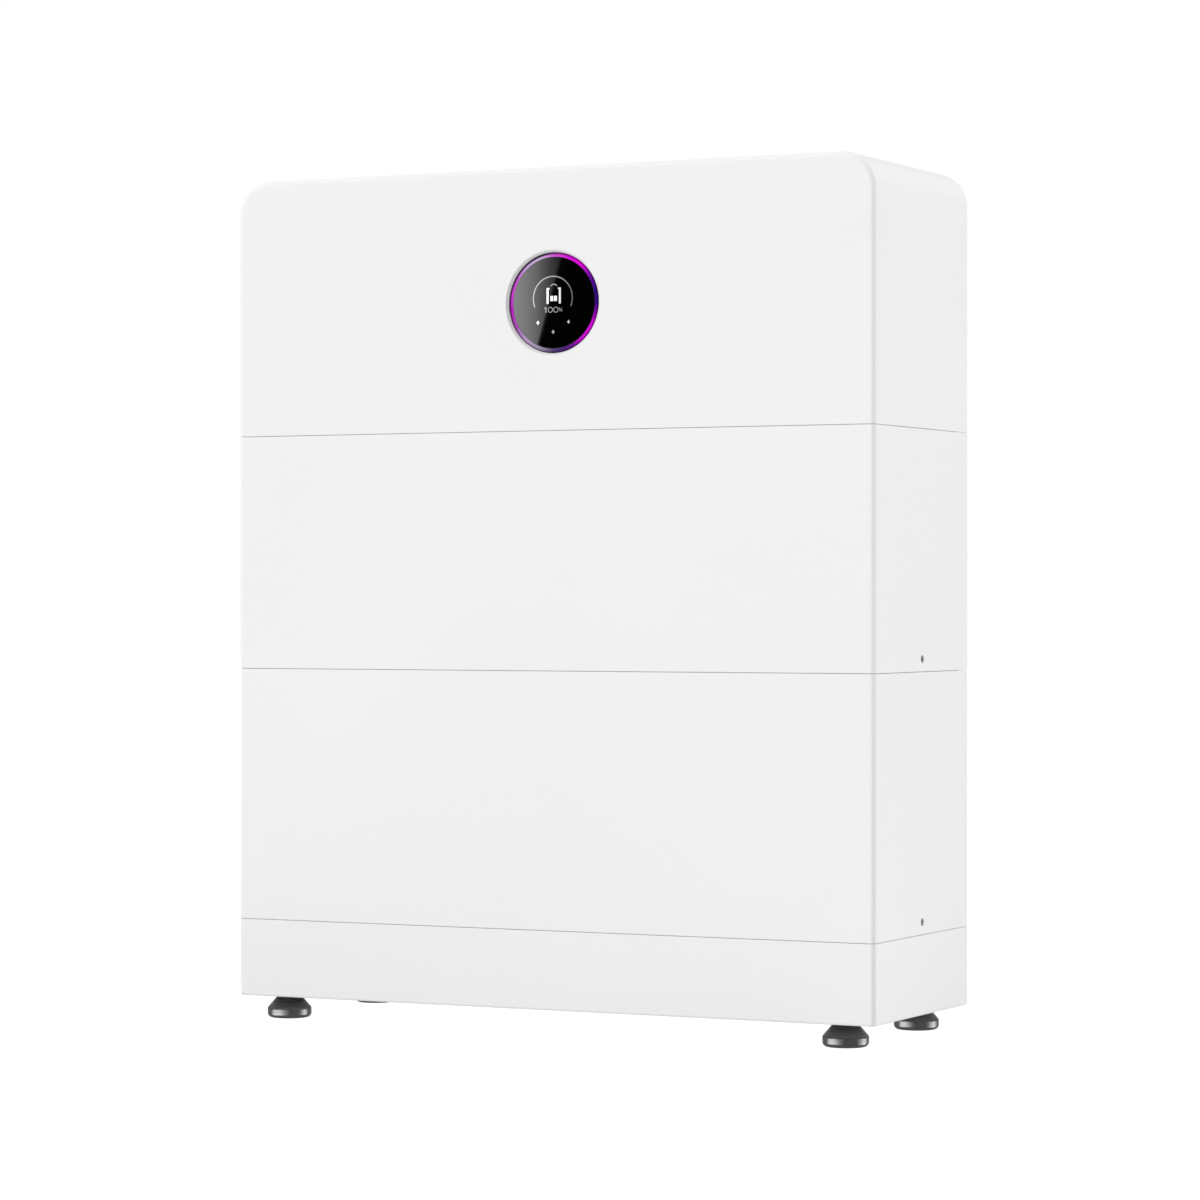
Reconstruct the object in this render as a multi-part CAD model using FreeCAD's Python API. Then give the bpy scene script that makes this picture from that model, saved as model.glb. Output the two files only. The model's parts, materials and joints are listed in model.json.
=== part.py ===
"""Floor-standing home battery stack: a power module with a round display on top of two
battery modules and a base on four levelling feet. Millimetres. The origin is on the floor
below the middle of the stack, +X runs along its width, +Y towards the wall and +Z up."""
import FreeCAD, Part
import math
import os

from FreeCAD import Vector

os.makedirs("parts", exist_ok=True)

# Whole stack
WIDTH = 700.0
DEPTH = 237.0
FOOT_HEIGHT = 23.0
BASE_HEIGHT = 78.0
LOWER_HEIGHT = 254.0
UPPER_HEIGHT = 235.0
POWER_HEIGHT = 258.0

BASE_BOTTOM = FOOT_HEIGHT
LOWER_BOTTOM = BASE_BOTTOM + BASE_HEIGHT
UPPER_BOTTOM = LOWER_BOTTOM + LOWER_HEIGHT
POWER_BOTTOM = UPPER_BOTTOM + UPPER_HEIGHT
TOP = POWER_BOTTOM + POWER_HEIGHT

SIDE = WIDTH / 2
FRONT = -DEPTH / 2
BACK = DEPTH / 2

# Covers
WALL = 2.5
EDGE_RADIUS = 5.0
TOP_CORNER_RADIUS = 35.0
SEAM_HALF_GAP = 0.2
RIM_RADIUS = 0.5
REAR_EDGE_RADIUS = 1.0
BASE_EDGE_RADIUS = 2.5

# Sheet-metal chassis inside each cover
SHEET = 2.0
REAR_RECESS = 18.0
REAR_FACE = BACK - REAR_RECESS
PANEL_FRONT = REAR_FACE - SHEET
INNER_SIDE = SIDE - WALL
INNER_FRONT = FRONT + WALL
FLANGE_HEIGHT = 25.0

# Screws low on the sides of each battery module
SIDE_SCREW_HEIGHT = 12.4
SIDE_SCREW_RADIUS = 2.0
SIDE_SCREW_LENGTH = 9.0
SIDE_HEAD_RADIUS = 3.3
SIDE_HEAD_HEIGHT = 1.9
SIDE_HEAD_ROUND = 0.9
SIDE_HOLE_RADIUS = 3.9
HEX_RECESS_RADIUS = 1.45
HEX_RECESS_DEPTH = 1.2

# Blind-mate connectors between modules
CONNECTOR_X = 302.0
SOCKET_SIZE = (38.0, 88.0)
SOCKET_RISE = 10.0
SOCKET_DROP = 22.0
PLUG_SIZE = (46.0, 100.0)
PLUG_HEIGHT = 32.0
CONNECTOR_GAP = 0.5
POWER_PIN_RADIUS = 4.0
POWER_PIN_OFFSETS = (-30.0, 30.0)
SIGNAL_PIN_RADIUS = 1.0
SIGNAL_PIN_OFFSETS = (-10.0, -5.0, 0.0, 5.0, 10.0)
PIN_CLEARANCE = 0.25
PIN_REACH = 18.0

# Pins that line up one module on the next
LOCATING_PINS = ((-335.0, -9.0), (CONNECTOR_X, -60.0))
LOCATING_RADIUS = 5.0
LOCATING_RISE = 8.0
LOCATING_TIP = 2.5
LOCATING_CLEARANCE = 0.4

# Cell blocks
CELL_COUNT = 8
CELL_THICKNESS = 71.7
CELL_DEPTH = 174.0
CELL_HEIGHT = 207.0
CELL_GAP = 0.5
CELL_EDGE_RADIUS = 3.0
BLOCK_START = -322.0
BLOCK_CENTRE_Y = -9.0
END_PLATE = 10.0
END_PLATE_HEIGHT = 190.0
END_POCKET_SIZE = (44.0, 150.0)
END_POCKET_OFFSETS = (-54.0, 0.0, 54.0)
TERMINAL_OFFSET = 50.0
TERMINAL_SIZE = 22.0
TERMINAL_HEIGHT = 3.0
BUSBAR_WIDTH = 24.0
BUSBAR_THICKNESS = 2.0
STRAP_THICKNESS = 1.2
STRAP_WIDTH = 18.0
STRAP_LEVELS = (50.0, 155.0)

# Contactor beside the cells
CONTACTOR_SIZE = (40.0, 68.0, 52.0)
CONTACTOR_RISE = 60.0
CONTACTOR_EDGE_RADIUS = 3.0
CONTACTOR_FEET = (88.0, 3.0)
CONTACTOR_STUD_RADIUS = 5.0
CONTACTOR_STUD_LENGTH = 8.0
CONTACTOR_STUD_OFFSET = 16.0

# Management board of a battery module; each part has a height, a width and a length, and its
# place along Y and above the module's bottom
BATTERY_BOARD_GAP = 6.0
BATTERY_BOARD_Y = (-90.0, 70.0)
BATTERY_BOARD_LEVELS = (40.0, 200.0)
BATTERY_BOARD_PARTS = (
    ((9.0, 40.0, 40.0), (-45.0, 160.0)),
    ((6.0, 30.0, 50.0), (10.0, 155.0)),
    ((4.0, 14.0, 14.0), (-70.0, 80.0)),
    ((4.0, 14.0, 14.0), (-45.0, 80.0)),
    ((4.0, 14.0, 14.0), (-20.0, 80.0)),
    ((8.0, 50.0, 10.0), (30.0, 60.0)),
    ((5.0, 20.0, 8.0), (50.0, 110.0)),
)

# Steel frame of the base
BEAM_THICKNESS = 3.0
LONG_BEAM_RISE = 12.0
CROSS_BEAM_RISE = 30.0
CROSS_BEAM_PLACES = (-250.0, -100.0, 100.0, 250.0)

# Levelling feet
FOOT_INSET_X = 42.5
FOOT_INSET_Y = 30.0
PAD_RADIUS = 22.3
PAD_BOTTOM_RADIUS = 4.6
PAD_BAND_TOP = 10.0
PAD_SHOULDER_RADIUS = 3.0
PAD_TOP_RADIUS = 12.0
PAD_TOP = 22.0
PAD_RECESS_RADIUS = 17.0
PAD_RECESS_HEIGHT = 0.5
SOCKET_RADIUS = 6.1
SOCKET_FLOOR = 8.0
STUD_RADIUS = 5.0
STUD_END_RADIUS = 6.0
STUD_END_TOP = 20.0
STUD_NECK_TOP = 22.3
STUD_FLATS_TOP = 32.0
STUD_TOP = 77.0
STUD_BOTTOM_GAP = 0.3
THREAD_CLEARANCE = 0.08
BOSS_RADIUS = 8.5
BOSS_BORE_TOP = 84.0
SKIRT_HOLE_RADIUS = 8.0

# Round display
DISPLAY_X = 9.1
DISPLAY_Z = 715.1
DISH_RADIUS = 51.7
DISH_DEPTH = 3.0
DISH_BOSS_RADIUS = 58.0
DISH_BOSS_DEPTH = 6.5
RING_OUTER = 49.2
RING_INNER = 45.1
RING_FRONT = FRONT + 2.4
RING_LENGTH = 7.0
RING_ROUND = 1.4
GLASS_RADIUS = 45.0
GLASS_FRONT = FRONT + 2.9
GLASS_THICKNESS = 2.5
GLASS_ROUND = 0.4
SCREEN_RADIUS = 38.0
SCREEN_THICKNESS = 3.0
HOUSING_RADIUS = 56.0
HOUSING_BACK = FRONT + 22.0
HOUSING_CAVITY_RADIUS = 50.7
HOUSING_SLOT_SIZE = (30.0, 8.0)
HOUSING_SLOT_DROP = 20.0
HOUSING_SLOT_DEPTH = 5.0
RING_BOARD_RADIUS = 50.2
RING_BOARD_SOCKET = (24.0, 5.0, 10.0)

# Wiring bay in the left side
BAY_Y = (-60.0, 80.0)
BAY_Z = (630.0, 800.0)
BAY_RIM = 6.0
BAY_CORNER_RADIUS = 8.0
BAY_FLOOR_X = -290.0
COVER_GAP = 0.5
COVER_THICKNESS = 2.2
BAY_SCREW_Y = 10.0
BAY_SCREW_INSET = 6.0
BAY_SCREW_RADIUS = 2.0
BAY_SCREW_LENGTH = 17.0
BAY_HEAD_RADIUS = 3.8
BAY_HEAD_SEAT = 1.2
BAY_BOSS_SIZE = 12.0
BAY_BOSS_FRONT = -340.5
BAY_FLANGE = 11.0
ISOLATOR_Y = -22.0
ISOLATOR_Z = 748.0
ISOLATOR_DEPTH = 44.0
ISOLATOR_SIDE = 52.0
ISOLATOR_EDGE_RADIUS = 4.0
KNOB_RADIUS = 22.0
KNOB_GAP = 0.4
KNOB_DISC = 5.0
KNOB_EDGE_RADIUS = 1.5
GRIP_REACH = 18.0
GRIP_SIZE = (10.0, 38.0)
GRIP_EDGE_RADIUS = 3.0
SPINDLE_RADIUS = 4.0
SPINDLE_LENGTH = 23.0
SPINDLE_BORE_LENGTH = 26.0
BUTTON_Y = 48.0
BUTTON_Z = 752.0
BUTTON_RADIUS = 9.0
BUTTON_CLEARANCE = 0.3
BUTTON_REACH = 6.0
BUTTON_FLANGE = 2.0
BUTTON_RING_WALL = 4.0
BUTTON_RING_HEIGHT = 3.0
COLLAR_RADIUS = 12.0
GROMMET_X = -318.0
GROMMET_LEVELS = (662.0, 696.0, 730.0)
GROMMET_OUTER = 12.0
GROMMET_BORE = 8.5
GROMMET_OVERHANG = 2.0
GLAND_PLATE = 2.0
GLAND_MARGIN = 6.0

# Connectors on the floor of the bay
NUT_HEIGHT = 4.0
NUT_TO_BARREL = 1.35
SOLAR_PLACES = (-44.0, -23.0, -2.0, 19.0)
SOLAR_Z = 652.0
SOLAR_RADIUS = 7.5
SOLAR_LENGTH = 20.0
SOLAR_BORE = 5.5
SOLAR_CORE = 2.2
GRID_Y = 54.0
GRID_Z = 664.0
GRID_RADIUS = 15.0
GRID_LENGTH = 24.0
GRID_BORE = 12.0
GRID_CORE = 9.0
GRID_CONTACT_CIRCLE = 5.0
GRID_CONTACT_RADIUS = 1.4
GRID_CONTACT_COUNT = 5
NETWORK_PLACES = (45.0, 63.0)
NETWORK_Z = 708.5
NETWORK_SIZE = (12.0, 13.0, 11.0)
NETWORK_BLOCK = (14.0, 36.0, 18.0)

# Heat sink and electronics of the power module
SINK_X = (-185.0, 310.0)
SINK_Z = (604.0, 798.0)
SINK_BASE = 8.0
SINK_LIP = 6.0
FIN_THICKNESS = 2.5
FIN_PITCH = 11.0
FIN_BACK = BACK - 1.5
BOARD_THICKNESS = 1.6
POWER_BOARD_X = (-175.0, 215.0)
POWER_BOARD_Y = 73.0
POWER_BOARD_Z = (612.0, 790.0)
SWITCH_MODULE_SIZE = (62.0, 36.0)
SWITCH_MODULE_PLACES = (-130.0, -55.0, 20.0, 95.0, 170.0)
SWITCH_MODULE_Z = 700.0
CAPACITOR_RADIUS = 17.5
CAPACITOR_LENGTH = 45.0
CAPACITOR_LEVELS = (650.0, 750.0)
CAPACITOR_PLACES = (-150.0, -110.0, -70.0, -30.0, 10.0)
INDUCTOR_X = 264.0
INDUCTOR_LEVELS = (640.0, 702.0, 764.0)
INDUCTOR_RADIUS = 28.0
INDUCTOR_LENGTH = 34.0
INDUCTOR_BORE = 10.0
INDUCTOR_EDGE_RADIUS = 6.0

# Control board; each part has a width, a length and a height, and its place along X and Z
CONTROL_BOARD_X = (-110.0, 130.0)
CONTROL_BOARD_Y = -62.0
CONTROL_BOARD_Z = (640.0, 790.0)
CONTROL_BOARD_PARTS = (
    ((30.0, 30.0, 3.0), (-40.0, 740.0)),
    ((50.0, 12.0, 12.0), (60.0, 655.0)),
    ((16.0, 40.0, 10.0), (-95.0, 700.0)),
    ((24.0, 24.0, 8.0), (90.0, 750.0)),
)

# Wall bracket
BRACKET_Z = (808.0, 841.0)
BRACKET_HALF_WIDTH = 150.0
BRACKET_SHEET = 3.0
BRACKET_FLANGE = 35.0
SLOT_SPACING = 240.0
SLOT_LENGTH = 22.0
SLOT_RADIUS = 4.5
BRACKET_SCREW_RADIUS = 2.5
BRACKET_SCREW_LENGTH = 12.0
BRACKET_HEAD_RADIUS = 4.6
BRACKET_HEAD_HEIGHT = 3.5
BRACKET_SCREW_Z_INSET = 9.0

# Small construction sizes
OVERRUN = 5.0


def box(x, y, z):
    """A block between pairs of limits along the three axes."""
    return Part.makeBox(x[1] - x[0], y[1] - y[0], z[1] - z[0], Vector(x[0], y[0], z[0]))


def around(centre, size):
    """Limits of a length centred on a value."""
    return (centre - size / 2, centre + size / 2)


def rod(radius, start, direction, length):
    """A round bar from a start point."""
    return Part.makeCylinder(radius, length, Vector(*start), Vector(*direction))


def cone(start_radius, end_radius, start, direction, length):
    """A tapered bar from a start point."""
    return Part.makeCone(start_radius, end_radius, length, Vector(*start), Vector(*direction))


def join(shapes):
    """One solid from several that touch or overlap."""
    return shapes[0].multiFuse(shapes[1:]).removeSplitter()


def group(shapes):
    """Several separate solids kept as one node."""
    return Part.makeCompound(shapes)


def round_edges(shape, radius, wanted):
    """Fillet the edges whose middle point and box satisfy a test."""
    edges = [edge for edge in shape.Edges if wanted(edge.BoundBox)]
    return shape.makeFillet(radius, edges)


def on_plane(low, high, value):
    """True when both limits lie on a plane."""
    return abs(low - value) < 1e-4 and abs(high - value) < 1e-4


def save(name, shape):
    """Write one node as a STEP file."""
    shape.exportStep(f"parts/{name}.step")


def front_fillet(shape, side, front, radius):
    """Round the two upright corners between the front and the sides."""
    def wanted(limits):
        upright = limits.ZLength > 2 * EDGE_RADIUS
        at_front = on_plane(limits.YMin, limits.YMax, front)
        at_side = on_plane(abs(limits.XMin), abs(limits.XMax), side)
        return upright and at_front and at_side
    return round_edges(shape, radius, wanted)


def rim_fillet(shape, level, side, front):
    """Ease the outer rim of a cover where it meets the next module."""
    def wanted(limits):
        at_level = on_plane(limits.ZMin, limits.ZMax, level)
        reaches_side = max(abs(limits.XMin), abs(limits.XMax)) > side - 1e-4
        reaches_front = limits.YMin < front + 1e-4
        at_back = on_plane(limits.YMin, limits.YMax, BACK)
        return at_level and (reaches_side or reaches_front) and not at_back
    return round_edges(shape, RIM_RADIUS, wanted)


def rear_fillet(shape, side):
    """Ease the outer rear edges of the side walls."""
    def wanted(limits):
        upright = limits.ZLength > 2 * EDGE_RADIUS
        at_back = on_plane(limits.YMin, limits.YMax, BACK)
        at_side = on_plane(abs(limits.XMin), abs(limits.XMax), side)
        return upright and at_back and at_side
    return round_edges(shape, REAR_EDGE_RADIUS, wanted)


def screw_holes(radius, level, start, length):
    """Cutters for the two side screws of a battery module."""
    return [
        rod(radius, (sign * start, 0, level), (sign, 0, 0), length)
        for sign in (-1, 1)
    ]


def battery_cover(bottom, top):
    """White cover that wraps the front and both sides of a battery module."""
    low = bottom + SEAM_HALF_GAP
    high = top - SEAM_HALF_GAP
    outer = box((-SIDE, SIDE), (FRONT, BACK), (low, high))
    outer = front_fillet(outer, SIDE, FRONT, EDGE_RADIUS)
    outer = rear_fillet(outer, SIDE)
    outer = rim_fillet(outer, low, SIDE, FRONT)
    outer = rim_fillet(outer, high, SIDE, FRONT)
    inner = box((-INNER_SIDE, INNER_SIDE), (INNER_FRONT, BACK + OVERRUN), (low - OVERRUN, high + OVERRUN))
    inner = front_fillet(inner, INNER_SIDE, INNER_FRONT, EDGE_RADIUS - WALL)
    holes = screw_holes(SIDE_HOLE_RADIUS, bottom + SIDE_SCREW_HEIGHT, INNER_SIDE - 1, WALL + 2)
    return outer.cut([inner] + holes)


def arch(side, low, high, radius, start, length):
    """An upright slab along Y whose two top corners are round."""
    left_top = Vector(-side, start, high - radius)
    top_left = Vector(-side + radius, start, high)
    top_right = Vector(side - radius, start, high)
    right_top = Vector(side, start, high - radius)
    inset = radius * (1 - math.sqrt(0.5))
    edges = [
        Part.LineSegment(Vector(-side, start, low), left_top),
        Part.Arc(left_top, Vector(-side + inset, start, high - inset), top_left),
        Part.LineSegment(top_left, top_right),
        Part.Arc(top_right, Vector(side - inset, start, high - inset), right_top),
        Part.LineSegment(right_top, Vector(side, start, low)),
        Part.LineSegment(Vector(side, start, low), Vector(-side, start, low)),
    ]
    wire = Part.Wire([edge.toShape() for edge in edges])
    return Part.Face(wire).extrude(Vector(0, length, 0))


def outline_fillet(shape, plane, radius, low):
    """Round the outline of an arch on one of its two end planes, except along its bottom."""
    def wanted(limits):
        bottom = on_plane(limits.ZMin, limits.ZMax, low)
        return on_plane(limits.YMin, limits.YMax, plane) and not bottom
    return round_edges(shape, radius, wanted)


def display_point(depth):
    """A point on the axis of the display, at a distance behind the front face."""
    return (DISPLAY_X, FRONT + depth, DISPLAY_Z)


def power_cover():
    """White hood of the power module, with the dish of the display and the opening of the bay."""
    low = POWER_BOTTOM + SEAM_HALF_GAP
    outer = arch(SIDE, low, TOP, TOP_CORNER_RADIUS, FRONT, DEPTH)
    outer = outline_fillet(outer, FRONT, EDGE_RADIUS, low)
    outer = outline_fillet(outer, BACK, REAR_EDGE_RADIUS, low)
    outer = rim_fillet(outer, low, SIDE, FRONT)
    inner_low = low - OVERRUN
    inner = arch(INNER_SIDE, inner_low, TOP - WALL, TOP_CORNER_RADIUS - WALL, INNER_FRONT, DEPTH)
    inner = outline_fillet(inner, INNER_FRONT, EDGE_RADIUS - WALL, inner_low)
    boss = rod(DISH_BOSS_RADIUS, display_point(WALL), (0, 1, 0), DISH_BOSS_DEPTH - WALL)
    shell = outer.cut(inner).fuse(boss)
    bore = rod(RING_OUTER + CONNECTOR_GAP / 2, display_point(-1), (0, 1, 0), DISH_BOSS_DEPTH + 2)
    dish = cone(DISH_RADIUS, RING_OUTER + CONNECTOR_GAP / 2, display_point(0), (0, 1, 0), DISH_DEPTH)
    opening = rounded_block(
        (-SIDE - OVERRUN, -INNER_SIDE + OVERRUN), bay_limits(BAY_Y, BAY_RIM), bay_limits(BAY_Z, BAY_RIM)
    )
    return shell.cut([bore, dish, opening]).removeSplitter()


def bay_limits(limits, margin):
    """The bay's limits along one axis, grown by a margin."""
    return (limits[0] - margin, limits[1] + margin)


def rounded_block(x, y, z):
    """A block whose four edges along X are round, for the bay and its cover."""
    def wanted(limits):
        return limits.XLength > 1e-3 and limits.YLength < 1e-4 and limits.ZLength < 1e-4
    return round_edges(box(x, y, z), BAY_CORNER_RADIUS, wanted)


def socket_openings(level, margin):
    """Cutters through a horizontal sheet for a connector and the locating pins."""
    z = (level - OVERRUN, level + OVERRUN)
    pocket = box(around(CONNECTOR_X, SOCKET_SIZE[0] + margin), around(0, SOCKET_SIZE[1] + margin), z)
    holes = [
        rod(LOCATING_RADIUS + margin / 2, (x, y, z[0]), (0, 0, 1), z[1] - z[0])
        for x, y in LOCATING_PINS
    ]
    return [pocket] + holes


def chassis_floor(bottom):
    """Folded steel floor of a module, with two short side flanges."""
    floor = box((-INNER_SIDE, INNER_SIDE), (INNER_FRONT, REAR_FACE), (bottom, bottom + SHEET))
    flange_z = (bottom, bottom + FLANGE_HEIGHT)
    flange_y = (INNER_FRONT + EDGE_RADIUS, PANEL_FRONT)
    left = box((-INNER_SIDE, -INNER_SIDE + SHEET), flange_y, flange_z)
    right = box((INNER_SIDE - SHEET, INNER_SIDE), flange_y, flange_z)
    body = join([floor, left, right])
    return body.cut(socket_openings(bottom, 2 * LOCATING_CLEARANCE) + floor_corner_cuts(bottom))


def rear_panel(bottom, top):
    """Steel rear panel that stands on the floor of a module."""
    return box((-INNER_SIDE, INNER_SIDE), (PANEL_FRONT, REAR_FACE), (bottom + SHEET, top))


def floor_corner_cuts(bottom):
    """Cutters that round the front corners of a sheet to the inside of the cover."""
    radius = EDGE_RADIUS - WALL
    cuts = []
    for sign in (-1, 1):
        x = sorted((sign * INNER_SIDE, sign * (INNER_SIDE - radius)))
        block = box(x, (INNER_FRONT, INNER_FRONT + radius), (bottom - 1, bottom + SHEET + 1))
        centre = (sign * (INNER_SIDE - radius), INNER_FRONT + radius, bottom - 2)
        cuts.append(block.cut(rod(radius, centre, (0, 0, 1), SHEET + 4)))
    return cuts


def battery_chassis(bottom, top):
    """Floor and rear panel of a battery module, with the threaded holes of its side screws."""
    holes = screw_holes(SIDE_SCREW_RADIUS, bottom + SIDE_SCREW_HEIGHT, INNER_SIDE - SHEET - 1, SHEET + 2)
    return group([chassis_floor(bottom).cut(holes), rear_panel(bottom, top)])


def power_chassis():
    """Floor of the power module, and its rear panel, open at the heat sink and the cable grommets."""
    panel = rear_panel(POWER_BOTTOM, TOP - WALL)
    y = (PANEL_FRONT - 1, REAR_FACE + 1)
    window = box(bay_limits(SINK_X, -SINK_LIP), y, bay_limits(SINK_Z, -SINK_LIP))
    holes = [
        rod(GROMMET_OUTER, (GROMMET_X, y[0], level), (0, 1, 0), SHEET + 2)
        for level in GROMMET_LEVELS
    ]
    screws = [
        rod(BRACKET_SCREW_RADIUS, (x, y[0], z), (0, 1, 0), SHEET + 2)
        for x, z in bracket_screw_places()
    ]
    top_corners = [
        box(x, y, (TOP - WALL - TOP_CORNER_RADIUS, TOP))
        for x in ((-SIDE, -SIDE + TOP_CORNER_RADIUS), (SIDE - TOP_CORNER_RADIUS, SIDE))
    ]
    keep = arch(
        INNER_SIDE, POWER_BOTTOM, TOP - WALL, TOP_CORNER_RADIUS - WALL, PANEL_FRONT - 2, SHEET + 4
    )
    trims = [corner.cut(keep) for corner in top_corners]
    return group([chassis_floor(POWER_BOTTOM), panel.cut([window] + holes + screws + trims)])


def lid(top, back):
    """Top sheet of a battery module, open at the socket and the locating pins."""
    sheet = box((-INNER_SIDE, INNER_SIDE), (INNER_FRONT, back), (top - SHEET, top))
    return sheet.cut(socket_openings(top, 0) + floor_corner_cuts(top - SHEET))


def pin_places():
    """Radius and Y position of each contact pin of a connector."""
    power = [(POWER_PIN_RADIUS, y) for y in POWER_PIN_OFFSETS]
    signal = [(SIGNAL_PIN_RADIUS, y) for y in SIGNAL_PIN_OFFSETS]
    return power + signal


def socket(level):
    """Socket that stands out of the top of a module."""
    z = (level - SOCKET_DROP, level + SOCKET_RISE)
    body = box(around(CONNECTOR_X, SOCKET_SIZE[0]), around(0, SOCKET_SIZE[1]), z)
    holes = [
        rod(radius + PIN_CLEARANCE, (CONNECTOR_X, y, z[1] - PIN_REACH - 1), (0, 0, 1), PIN_REACH + 2)
        for radius, y in pin_places()
    ]
    return body.cut(holes)


def plug(level):
    """Plug in the floor of a module, which comes down over the socket below."""
    z = (level + SHEET, level + SHEET + PLUG_HEIGHT)
    body = box(around(CONNECTOR_X, PLUG_SIZE[0]), around(0, PLUG_SIZE[1]), z)
    ceiling = level + SOCKET_RISE + CONNECTOR_GAP
    cavity = box(
        around(CONNECTOR_X, SOCKET_SIZE[0] + 2 * CONNECTOR_GAP),
        around(0, SOCKET_SIZE[1] + 2 * CONNECTOR_GAP),
        (level, ceiling),
    )
    pins = [
        rod(radius, (CONNECTOR_X, y, ceiling - PIN_REACH), (0, 0, 1), PIN_REACH + 1)
        for radius, y in pin_places()
    ]
    return join([body.cut(cavity)] + pins)


def cell_centres():
    """Middle of each cell along X."""
    first = BLOCK_START + END_PLATE + CELL_THICKNESS / 2
    return [first + index * (CELL_THICKNESS + CELL_GAP) for index in range(CELL_COUNT)]


def block_end():
    """Outer face of the right-hand end plate."""
    return cell_centres()[-1] + CELL_THICKNESS / 2 + END_PLATE


def cells(bottom):
    """Prismatic cells in a row, each with two terminals on its top."""
    floor = bottom + SHEET
    block = []
    for x in cell_centres():
        can = box(
            around(x, CELL_THICKNESS), around(BLOCK_CENTRE_Y, CELL_DEPTH), (floor, floor + CELL_HEIGHT)
        )
        can = round_edges(can, CELL_EDGE_RADIUS, lambda limits: limits.ZLength > CELL_HEIGHT / 2)
        terminals = [
            box(
                around(x, TERMINAL_SIZE),
                around(BLOCK_CENTRE_Y + sign * TERMINAL_OFFSET, TERMINAL_SIZE),
                (floor + CELL_HEIGHT, floor + CELL_HEIGHT + TERMINAL_HEIGHT),
            )
            for sign in (-1, 1)
        ]
        block.append(join([can] + terminals))
    return group(block)


def end_plates(bottom):
    """Two aluminium plates that squeeze the row of cells, lightened by pockets."""
    floor = bottom + SHEET
    y = around(BLOCK_CENTRE_Y, CELL_DEPTH)
    plates = []
    for start, outward in ((BLOCK_START, -1), (block_end() - END_PLATE, 1)):
        plate = box((start, start + END_PLATE), y, (floor, floor + END_PLATE_HEIGHT))
        face = start if outward < 0 else start + END_PLATE
        depth = END_PLATE / 2
        x = sorted((face - outward * depth, face + outward))
        pockets = [
            box(
                x,
                around(BLOCK_CENTRE_Y + offset, END_POCKET_SIZE[0]),
                around(floor + END_PLATE_HEIGHT / 2, END_POCKET_SIZE[1]),
            )
            for offset in END_POCKET_OFFSETS
        ]
        plates.append(plate.cut(pockets))
    return group(plates)


def tie_straps(bottom):
    """Steel straps along both sides of the cells, from end plate to end plate."""
    straps = []
    for level in STRAP_LEVELS:
        for sign in (-1, 1):
            face = BLOCK_CENTRE_Y + sign * CELL_DEPTH / 2
            y = sorted((face, face + sign * STRAP_THICKNESS))
            straps.append(box((BLOCK_START, block_end()), y, around(bottom + level, STRAP_WIDTH)))
    return group(straps)


def busbars(bottom):
    """Links that join the cells in series, with an end tab at each end of the row."""
    low = bottom + SHEET + CELL_HEIGHT + TERMINAL_HEIGHT
    z = (low, low + BUSBAR_THICKNESS)
    centres = cell_centres()
    bars = []
    for index, (left, right) in enumerate(zip(centres, centres[1:])):
        side = 1 if index % 2 == 0 else -1
        x = (left - TERMINAL_SIZE / 2, right + TERMINAL_SIZE / 2)
        bars.append(box(x, around(BLOCK_CENTRE_Y + side * TERMINAL_OFFSET, BUSBAR_WIDTH), z))
    for x in (centres[0], centres[-1]):
        bars.append(box(around(x, BUSBAR_WIDTH), around(BLOCK_CENTRE_Y - TERMINAL_OFFSET, BUSBAR_WIDTH), z))
    return group(bars)


def battery_board(bottom):
    """Management board on edge at the right-hand end, with its components facing the cells."""
    face = INNER_SIDE - SHEET - BATTERY_BOARD_GAP
    z = (bottom + BATTERY_BOARD_LEVELS[0], bottom + BATTERY_BOARD_LEVELS[1])
    board = box((face, face + BOARD_THICKNESS), BATTERY_BOARD_Y, z)
    chips = [
        box((face - size[0], face), around(place[0], size[1]), around(bottom + place[1], size[2]))
        for size, place in BATTERY_BOARD_PARTS
    ]
    return join([board] + chips)


def contactor(bottom):
    """Sealed relay that disconnects the cells, with two screw terminals."""
    width, depth, height = CONTACTOR_SIZE
    foot_depth, foot_height = CONTACTOR_FEET
    low = bottom + CONTACTOR_RISE
    x = around(CONNECTOR_X, width)
    body = box(x, around(0, depth), (low, low + height))
    body = round_edges(body, CONTACTOR_EDGE_RADIUS, lambda limits: limits.ZLength > height / 2)
    studs = [
        rod(CONTACTOR_STUD_RADIUS, (CONNECTOR_X, y, low + height), (0, 0, 1), CONTACTOR_STUD_LENGTH)
        for y in (-CONTACTOR_STUD_OFFSET, CONTACTOR_STUD_OFFSET)
    ]
    feet = box(x, around(0, foot_depth), (low, low + foot_height))
    return join([body, feet] + studs)


def side_screw(sign, level):
    """Button-head screw with a hexagonal recess, set in the side of a cover."""
    shank = rod(
        SIDE_SCREW_RADIUS, (sign * INNER_SIDE, 0, level), (-sign, 0, 0), SIDE_SCREW_LENGTH
    )
    head = rod(SIDE_HEAD_RADIUS, (sign * INNER_SIDE, 0, level), (sign, 0, 0), SIDE_HEAD_HEIGHT)
    crown = sign * (INNER_SIDE + SIDE_HEAD_HEIGHT)
    head = round_edges(
        head, SIDE_HEAD_ROUND, lambda limits: on_plane(limits.XMin, limits.XMax, crown)
    )
    recess = hexagon(
        HEX_RECESS_RADIUS, (crown + sign, 0, level), (-sign, 0, 0), HEX_RECESS_DEPTH + 1
    )
    return join([shank, head]).cut(recess)


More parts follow.
